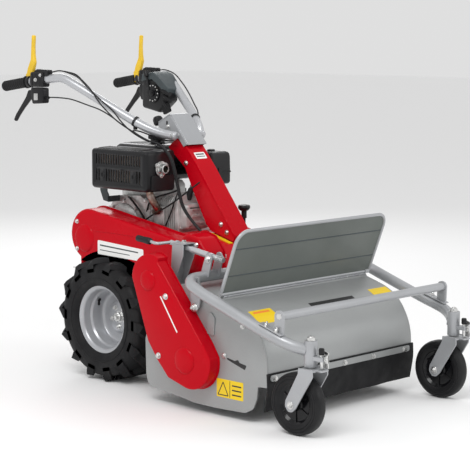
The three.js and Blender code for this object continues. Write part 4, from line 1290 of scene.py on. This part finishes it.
def make_castor_frame():
    """One bent tube with castor sleeves, pivot plates and the lugs for the crank."""
    route = [*ARM_LINE, (0, -532, 413)] + [(-x, y, z) for x, y, z in reversed(ARM_LINE)]
    bent = tube(route, ARM_RADIUS, 24, 160)
    piece("castor_frame_tube", bent, "castor_frame", "silver", "castor_frame", angle=50)
    fittings, zinc, welds = Shape(), Shape(), Shape()
    pivot = joint_mm("cutting_height")
    for name, sign in SIDES:
        x, y, _ = joint_mm(f"castor_swivel_{name}")
        sleeve = lathe([(10.5, 207), (19, 207), (19.6, 209), (19.6, 281), (19, 283), (10.5, 283),
                        (10.5, 207)], (x, y, 0), (0, 0, 1), 40)
        fittings.join(sleeve)
        foot = rounded(rectangle(x - 11, x + 11, -1053, -1014), 4)
        fittings.join(prism(foot, 228, 240, "z"))
        plate = rounded([(-524, 420), (-562, 418), (-569, 360), (-561, 325), (-545, 309), (-529, 325),
                         (-527, 360)], [4, 4, 10, 12, 14, 12, 10], 5)
        fittings.join(prism(plate, sign * 350.5, sign * 357))
        zinc.join(hex_bolt((sign * 357, pivot[1], pivot[2]), (sign, 0, 0), 17, 9, 14, 5))
        welds.join(tube([(sign * 352, -537, 398), (sign * 352, -556, 397)], 4, 10, smooth=False))
        ring = [(x + ARM_RADIUS * math.cos(a), y + ARM_RADIUS * math.sin(a) + 3,
                 252 + 13 * math.sin(a * 2 + 1)) for a in (math.radians(d) for d in range(20, 161, 20))]
        welds.join(tube(ring, 3, 8))
    for x in (LUG_NEAR, LUG_FAR):
        lug = [(-515, 412), (-552, 412), (-566, 470), (-558, 486), (-543, 486), (-536, 470)]
        fittings.join(prism(rounded(lug, [3, 3, 6, 10, 10, 8], 5), x, x + LUG_THICKNESS))
    piece("castor_frame_fittings", fittings, "castor_frame", "silver", bevel=0.9, angle=40)
    zinc.join(hex_bolt((LUG_NEAR, *LUG_PIN), (-1, 0, 0), 15, 6, 12, 3))
    zinc.join(hex_bolt((LUG_FAR + LUG_THICKNESS, *LUG_PIN), (1, 0, 0), 15, 8, 12))
    piece("castor_frame_bolts", zinc, "castor_frame", "zinc", bevel=0.4)
    piece("castor_frame_welds", welds, "castor_frame", "silver")


def make_front_bar():
    """The cross bar between the arms, on end plates with bolted feet."""
    y, z = -921, 348
    half = 389
    bar = tube([(-half, y, z), (half, y, z)], 13, 28, 2, smooth=False)
    bolts = Shape()
    for sign in (-1, 1):
        upright = rounded([(-937, 295), (-903, 305), (-903, 352), (-909, 363), (-921, 366), (-933, 363),
                           (-939, 352)], [3, 3, 6, 8, 8, 8, 6], 5)
        bar.join(prism(upright, sign * 386, sign * 392))
        bar.join(prism(rounded([(-937, 293.6), (-850, 319.7), (-850, 323.5), (-937, 297.5)], 1.5, 2),
                       sign * 378, sign * 404))
        for bolt_y, bolt_z in ((-915, 304.2), (-876, 315.8)):
            bolts.join(hex_bolt((sign * 398, bolt_y, bolt_z), (0, -0.29, 0.96), 11, 7, 8, 6))
        bolts.join(lathe([(0, 0), (10, 0), (9, 2), (0, 2.4)], (sign * 391.6, y, z), (sign, 0, 0), 28))
    piece("front_cross_bar", bar, "castor_frame", "silver", "front_bar", bevel=0.8,
          angle=40)
    piece("front_bar_bolts", bolts, "castor_frame", "zinc", bevel=0.3)


def castor_leg_outline():
    _, y, z = joint_mm("castor_spin_right")
    return rounded([(-984, 206), (-1036, 206), (-1037, 184), (y - 20, z - 8), (y - 6, z - 20),
                    (y + 8, z - 21), (y + 21, z - 5), (y + 19, z + 12), (-982, 188)],
                   [2, 3, 10, 14, 12, 12, 12, 12, 8], 5)


def both_sides(half):
    """A closed wheel profile from the half that lies on one side of the middle."""
    return [*half, *[(r, -h) for r, h in reversed(half)], half[0]]


def make_castor(name):
    """A flat-bar fork and its wheel."""
    body = f"fork_{name}"
    x, y, _ = joint_mm(f"castor_swivel_{name}")
    _, wheel_y, wheel_z = joint_mm(f"castor_spin_{name}")
    half = 36
    fork = Shape()
    for sign in (-1, 1):
        fork.join(prism(castor_leg_outline(), x + sign * half, x + sign * (half - 5)))
    fork.join(block(x - half + 1, x + half - 1, -1036, -984, 198, 204.5))
    crown = rounded(rectangle(x - 17, x + 17, -1056, -1030), 6)
    fork.join(prism(crown, 198.5, 203.5, "z"))
    piece(f"castor_fork_legs_{name}", fork, body, "silver", f"castor_fork_{name}",
          bevel=1.3, segments=3)
    fixings = lathe([(0, 204), (9.7, 204), (9.7, 292), (8, 294), (0, 294)], (x, y, 0), (0, 0, 1), 24)
    fixings.join(hex_bolt((x, y, 283.5), (0, 0, 1), 22, 7, 15, 4))
    for sign in (-1, 1):
        fixings.join(hex_bolt((x + sign * half, wheel_y, wheel_z), (sign, 0, 0), 15, 6, 12, 3))
    fixings.join(lathe(rectangle(0, 6, -half, half), (x, wheel_y, wheel_z), (1, 0, 0), 20))
    piece(f"castor_fixings_{name}", fixings, body, "zinc", bevel=0.4)
    r = wheel_z
    side = [(60, -17), (64, -19.5), (70, -21.6), (72, -21.8), (72.8, -20.6), (74.4, -20.6), (75.2, -21.8),
            (80, -21.6), (81, -20.2), (82.6, -20), (83.6, -21), (r - 5, -19), (r - 1.5, -14), (r, -7)]
    tread = both_sides(side)
    tyre = lathe(tread, (x, wheel_y, wheel_z), (1, 0, 0), 96)
    piece(f"castor_tyre_{name}", tyre, f"castor_wheel_{name}", "castor", f"castor_wheel_{name}",
          angle=30)
    web = both_sides([(7, -28), (17, -28), (19, -26), (20, -13), (24, -10), (50, -9), (54, -13),
                      (58, -16.5), (61, -16.5)])
    hub = lathe(web, (x, wheel_y, wheel_z), (1, 0, 0), 64)
    for k in range(6):
        hub.join(spun(block(-13, 13, -2.2, 2.2, 18, 56), (x, wheel_y, wheel_z), 60 * k))
    piece(f"castor_hub_{name}", hub, f"castor_wheel_{name}", "gloss", bevel=0.5)


def make_lock_pin(name):
    """The pin that stops a castor from swivelling, and its bracket."""
    lo, hi = box_mm(f"lock_pin_{name}")
    x, y = (lo.x + hi.x) / 2, (lo.y + hi.y) / 2
    pin = lathe([(0, lo.z), (4.2, lo.z), (5, lo.z + 2), (5, 246), (0, 246)], (x, y, 0), (0, 0, 1), 20)
    piece(f"lock_plunger_{name}", pin, f"lock_pin_{name}", "zinc", f"lock_pin_{name}", angle=40)
    cap = lathe([(0, 247), (7.6, 247), (8.4, 249), (8.4, 262), (7, 265.5), (0, 266)], (x, y, 0), (0, 0, 1),
                24)
    piece(f"lock_cap_{name}", cap, f"lock_pin_{name}", "black")
    bracket = prism(rounded([(-1056, 206), (-1030, 206), (-1030, 252), (-1038, 258), (-1056, 252)], 3),
                    x + 11.5, x + 15.5)
    bracket.join(block(x + 6, x + 15, -1056, -1046, 222, 246))
    bracket.join(bolt_set(((x + 15.5, -1042, 246), (1, 0, 0), 11, 6, 8.5, 3),
                          ((x + 15.5, -1044, 222), (1, 0, 0), 13, 7, 9.5, 3),
                          ((x, -1056, 236), (0, -1, 0), 10, 5, 8)))
    piece(f"lock_bracket_{name}", bracket, "castor_frame", "zinc", bevel=0.6)


# ---- cutting height crank ----
def make_crank():
    """The bracket on the frame, the cranked screw and the pins in the lugs."""
    lo, hi = box_mm("crank_bracket")
    x = (lo.x + hi.x) / 2
    flange = rounded([(-404, 503), (-452, 503), (-452, 470), (-424, 405), (-414, 352), (-392, 340)],
                     [2, 4, 14, 20, 10, 4], 4)
    bracket = prism(flange, x - 26, x - 22).join(prism(flange, x + 22, x + 26))
    bracket.join(prism([(-404, 503), (-410, 503), (-398, 340), (-392, 340)], x - 25, x + 25))
    bracket.join(block(x - 26, x + 26, -452, -404, 503, 507))
    piece("crank_bracket_folded", bracket, "chassis", "silver", "crank_bracket", bevel=1.2,
          segments=3)
    bolts = bolt_set(((x - 26, -405, 360), (-1, 0, 0), 12, 6), ((x, -430, 507), (0, 0, 1), 13, 6))
    piece("crank_bracket_bolts", bolts, "chassis", "zinc", bevel=0.3)
    slope = math.tan(math.radians(8.6))
    base_y, base_z = -435, 493

    def point(y):
        """A place on the screw's axis."""
        return Vector((x, y, base_z + (y - base_y) * slope))

    rear = point(-372)
    arm = rear + Vector((-48, 4, 0))
    crank_line = [rear + Vector((6, 0, 0)), rear, rear + Vector((-24, 3, 0)), arm + Vector((-2, 6, 0)),
                  arm + Vector((0, 42, 4))]
    screw = tube([point(-372), point(-600)], 8, 24, smooth=False).join(tube(crank_line, 5, 16, 40))
    screw.join(lathe(rectangle(8, 9.8, 0, 74), point(-462), (0, -1, -slope), 24))
    screw.join(lathe([(7, -6), (9.8, -6), (9.8, 6), (7, 6), (7, -6)], point(-550), (0, 1, slope), 24))
    screw.join(rod(13, 8, point(-396), (0, -1, -slope)))
    piece("crank_screw", screw, "height_crank", "tube", "height_crank", angle=40)
    threads = Shape()
    ridge = [(7.6, -0.9), (9, 0), (7.6, 0.9), (7.6, -0.9)]
    for k in range(16):
        threads.join(lathe(ridge, point(-566 - 2.1 * k), (0, 1, slope), 20))
    piece("crank_thread", threads, "height_crank", "zinc")
    profile = [(0, 36), (8, 36), (10.6, 39), (11, 50), (9.6, 72), (10.4, 92), (9.4, 97), (6, 99), (0, 99)]
    piece("crank_grip", lathe(profile, arm, (0, 1, 0.09), 32), "height_crank", "black",
          angle=40)
    pins = Shape()
    for near, far in ((-303, -298.4), (-277.6, -256)):
        pins.join(tube([(near, *LUG_PIN), (far, *LUG_PIN)], 6, 16, smooth=False))
    piece("crank_trunnion", pins, "castor_frame", "zinc", bevel=0.4)


# ---- handlebar ----
BAR_LINE = [(-62, -160, 814), (-66, -146, 816), (-86, -127, 822), (-116, -92, 838), (-148, -36, 870),
            (-190, 60, 927), (-228, 152, 980), (-240, 196, 999), (-247, 240, 997), (-251, 300, 990),
            (-256, 380, 980), (-259, 466, 967.6)]


def make_handlebar():
    """The two bent tubes and their ribbed grips."""
    for name, sign in SIDES:
        line = [(sign * -x, y, z) for x, y, z in BAR_LINE]
        bar = tube(line, 15, 28, 110)
        _, y, z = joint_mm("handlebar_height")
        bar.join(lathe([(0, -6), (10, -6), (14, -4), (15.4, 0), (14, 4), (10, 6), (0, 6)],
                       Vector((sign * 62, y - 5, z - 1.5)), (sign * 0.3, 0.9, 0.2), 32))
        piece(f"handlebar_tube_{name}", bar, "handlebar", "tube", f"handlebar_{name}",
              angle=50)
        grip_line = smooth_path([(sign * 255, 358, 983.3), (sign * 257, 420, 974.5),
                                 (sign * 259.6, 480, 965.4)], 84)
        last = len(grip_line) - 1

        def ring(i):
            s = i / last
            r = 17.2 + 0.9 * math.cos(s * 2 * math.pi * 13)
            if s < 0.05:
                r = 21.5
            elif s < 0.07:
                r = 17.0
            elif s > 0.955:
                r = 16.8 * math.sqrt(max(0.05, 1 - ((s - 0.955) / 0.046) ** 2))
            return circle(r, 28)
        piece(f"handle_grip_{name}", along(grip_line, ring), "handlebar", "rubber",
              f"grip_{name}", angle=46)


def make_housings():
    """The lever housings below and in front of the grips."""
    for name, sign in SIDES:
        x = sign * 252
        parts = domed(rounded([(266, 1018), (266, 968), (330, 968), (334, 984), (330, 1018)], 7, 4),
                      both_faces(x, [(18, 5), (16, 1.5), (13, 0)]))
        parts.join(domed(rounded([(268, 966), (268, 914), (322, 910), (332, 940), (330, 966)], 7, 4),
                         both_faces(x, [(16, 4), (14, 1), (11, 0)])))
        parts.join(prism(rounded([(246, 1026), (246, 1006), (312, 1004), (316, 1022), (300, 1028)], 5),
                         x - 11, x + 11))
        parts.join(rod(18.5, 16, (sign * 251, 262, 996), (0, 1, -0.12), 28))
        parts.join(rod(20, 12, (sign * 255, 340, 985), (0, 1, -0.12), 28))
        for y0 in (280, 300, 318):
            parts.join(block(x - 19, x + 19, y0 - 2, y0 + 2, 972, 1014))
        parts.join(tube([(x, 252, 1016), (x, 240, 1018)], 5, 12, smooth=False))
        parts.join(tube([(x, 268, 932), (x, 252, 933)], 5, 12, smooth=False))
        piece(f"lever_housing_body_{name}", parts, "handlebar", "black",
              f"lever_housing_{name}", bevel=0.9, angle=35)
        window = prism(rounded([(292, 924), (312, 923), (312, 946), (292, 946)], 2), x + sign * 14,
                       x + sign * 16.6)
        window.join(hex_bolt((x + sign * 17.6, 300, 992), (sign, 0, 0), 9, 4, 7))
        window.join(hex_bolt((x + sign * 17.6, 276, 1008), (sign, 0, 0), 7, 3, 6))
        piece(f"housing_window_{name}", window, "handlebar", "zinc", bevel=0.3)
        make_clutch_lever(name, sign * 250)
        make_brake_lever(name, sign * 255)


def make_clutch_lever(name, x):
    """A yellow blade that stands up from the housing."""
    blade = rounded([(338, 1142), (349, 1142), (348, 1090), (347, 1060), (360, 1030), (364, 1012),
                     (352, 1004), (334, 1012), (326, 1050), (333, 1074), (337, 1104)],
                    [5, 5, 0, 12, 12, 6, 6, 6, 14, 14, 0], 5)
    lever = domed(blade, both_faces(x, [(7, 2.4), (5, 0.6), (3, 0)]))
    hinge = Vector((x, 349, 1012))
    lever.turned(Matrix.Translation(hinge) @ Matrix.Rotation(math.radians(5), 4, "Y")
                 @ Matrix.Translation(-hinge))
    lever.join(prism(rounded([(338, 1016), (364, 1012), (366, 974), (352, 972), (340, 984)], 6), x - 9,
                     x + 9))
    piece(f"clutch_lever_blade_{name}", lever, f"clutch_lever_{name}", "yellow",
          f"clutch_lever_{name}", bevel=0.6, angle=40)


def make_brake_lever(name, x):
    """A black curved lever under the grip."""
    brake = rounded([(326, 958), (352, 956), (364, 934), (392, 902), (418, 874), (432, 852), (422, 846),
                     (404, 868), (378, 894), (346, 922), (326, 932)],
                    [8, 8, 14, 20, 20, 6, 6, 20, 20, 14, 8], 5)
    grip = domed(brake, both_faces(x, [(6, 2.2), (4, 0.5), (2.5, 0)]))
    piece(f"brake_lever_arm_{name}", grip, f"brake_lever_{name}", "black",
          f"brake_lever_{name}", angle=40)


def make_straps():
    """The straps that tie the cables to the handlebar tubes."""
    straps = Shape()
    for _, sign in SIDES:
        centre = Vector((sign * 139, -52, 861))
        axis = Vector((sign * 42, 96, 57)).normalized()
        straps.join(lathe([(15.2, -4), (17.8, -4), (17.8, 4), (15.2, 4), (15.2, -4)], centre, axis, 32))
        straps.join(block(centre.x - 5, centre.x + 5, centre.y - 5, centre.y + 5, centre.z - 27,
                          centre.z - 15))
    piece("cable_straps", straps, "handlebar", "black", bevel=0.5)


def make_control_box():
    """The control box on the left tube: cover, case, dial, plugs and speed lever."""
    lo, hi = box_mm("control_box")
    x = lo.x
    cover = [(x - 2, 100, 958), (214, 86, 955), (240, 158, 1007), (x - 2, 160, 1004), (x - 2, 178, 1014),
             (238, 186, 1017), (x - 2, 232, 1006), (236, 236, 1010)]
    drop = Vector((0, 6, -26))
    verts = [Vector(p) for p in cover] + [Vector(p) + drop for p in cover]
    top = [(0, 1, 2, 3), (3, 2, 5, 4), (4, 5, 7, 6)]
    rim = [0, 1, 2, 5, 7, 6, 4, 3]
    faces = top + [tuple(i + 8 for i in reversed(face)) for face in top]
    faces += [(rim[k], rim[k] + 8, rim[(k + 1) % 8] + 8, rim[(k + 1) % 8]) for k in range(8)]
    piece("control_cover", Shape().add(verts, faces), "handlebar", "panel", "control_box",
          bevel=3, segments=3, angle=20)
    case = rounded([(236, 985), (222, 990), (160, 990), (98, 945), (96, 915), (150, 872), (236, 888)], 12,
                   4)
    body = domed(case, [(x, 8), (x + 2, 4), (x + 6, 1), (x + 12, 0), (hi.x - 8, 0), (hi.x - 3, 2),
                        (hi.x, 6)])
    piece("control_box_case", body, "handlebar", "black", angle=34)
    dial = disc((x + 1, 176, 940), (-1, 0, 0), 34, 6, 2, 40)
    dial.join(disc((x - 4, 176, 940), (-1, 0, 0), 12, 7, 3, 24))
    for k in range(9):
        a = math.radians(70 + 28 * k)
        spot = (x - 4.6, 176 + 27 * math.cos(a), 940 + 27 * math.sin(a))
        dial.join(disc(spot, (-1, 0, 0), 2, 1.2, 0.4, 10), 1)
    piece("control_dial", dial, "handlebar", ["gloss", "white"], angle=34)
    plugs = Shape()
    for y0, z0, y1, z1 in ((134, 950, 92, 934), (126, 932, 84, 912), (124, 912, 96, 884)):
        plugs.join(tube([(x + 2, y0, z0), (x - 6, (y0 + y1) / 2, (z0 + z1) / 2 + 4), (x - 2, y1, z1)], 6,
                        12, 14))
    plugs.join(prism(rounded([(128, 900), (96, 908), (84, 880), (116, 866)], 5), x - 8, x + 2))
    piece("control_box_plugs", plugs, "handlebar", "rubber", bevel=0.8)
    _, y, z = joint_mm("speed_lever_turn")
    arm = tube([(x - 5, y, z), (x - 5, y + 15, z + 60)], 4, 16, smooth=False)
    arm.join(lathe([(0, 0), (7, 0), (9, 3), (9, 18), (7, 22), (0, 22)], (x - 5, y + 14, z + 56),
                   (0, 0.24, 0.97), 24))
    arm.join(disc((x - 0.5, y, z), (-1, 0, 0), 11, 10, 2))
    piece("throttle_lever", arm, "speed_lever", "black", "speed_lever", bevel=0.4)


# ---- control cables: from the levers down into the frame ----
LOOM_LINE = [(-152, -50, 829), (-141, -104, 803), (-131, -160, 788), (-124, -200, 752), (-118, -216, 703),
             (-114, -233, 632), (-110, -250, 585), (-104, -310, 525), (-101, -338, 506)]
CABLE_RADIUS = 2.3
CABLE_LINES = {
    "clutch_cable_right": ([(-250, 252, 1016), (-246, 201, 1024), (-238, 166, 1017), (-228, 131, 1003),
                            (-224, 94, 976), (-215, 50, 941), (-188, 4, 895), (-172, -22, 858)],
                           (-2.6, 2.4)),
    "throttle_cable": ([(-230, 196, 1022), (-222, 148, 1012), (-216, 118, 990), (-213, 86, 965),
                        (-209, 46, 921),
                        (-196, 12, 886), (-180, -12, 860)], (2.6, 2.4)),
    "brake_cable_right": ([(-250, 256, 934), (-246, 203, 934), (-234, 160, 930), (-214, 104, 913),
                           (-190, 62, 896), (-172, 22, 872), (-163, -12, 850)], (-2.6, -2.4)),
    "clutch_cable_left": ([(250, 252, 1016), (250, 214, 1020), (246, 160, 1008), (226, 98, 977),
                           (202, 40, 942),
                           (187, 0, 908), (172, -34, 878), (120, -70, 806), (20, -46, 790),
                           (-100, -30, 826)], (2.6, -2.4)),
}


def make_cables():
    """Each cable runs as one fixed sleeve from the handlebar into the chassis below the head."""
    for node, (head, (across, along_y)) in CABLE_LINES.items():
        tail = [Vector(p) + Vector((across, along_y, 0)) for p in LOOM_LINE]
        cable = tube([*head, *tail], CABLE_RADIUS, 12, 90)
        hidden = (node, "cable_loom") if node == "clutch_cable_right" else node
        made = piece(f"{node}_sleeve", cable, None, "black", hidden, angle=60)
        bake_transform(made)
    ends = lathe([(0, -2), (9, -2), (9, 5), (6, 12), (0, 12)], (-101, -338, 499), (0.05, 0.6, 0.8), 20)
    piece("cable_gland", ends, "chassis", "rubber")


# ---- the whole mower ----
make_camera()
make_stage()
make_wheels()
make_chassis()
make_drive_belt_cover()
make_rotor_belt_cover()
make_crankcase()
make_engine_dressing()
make_muffler()
make_tank()
make_air_filter()
make_recoil_starter()
make_column()
make_head()
make_deck()
make_labels()
make_flap()
make_deflector()
make_castor_frame()
make_front_bar()
for castor_name, _ in SIDES:
    make_castor(castor_name)
    make_lock_pin(castor_name)
make_crank()
make_handlebar()
make_housings()
make_straps()
make_control_box()
make_cables()
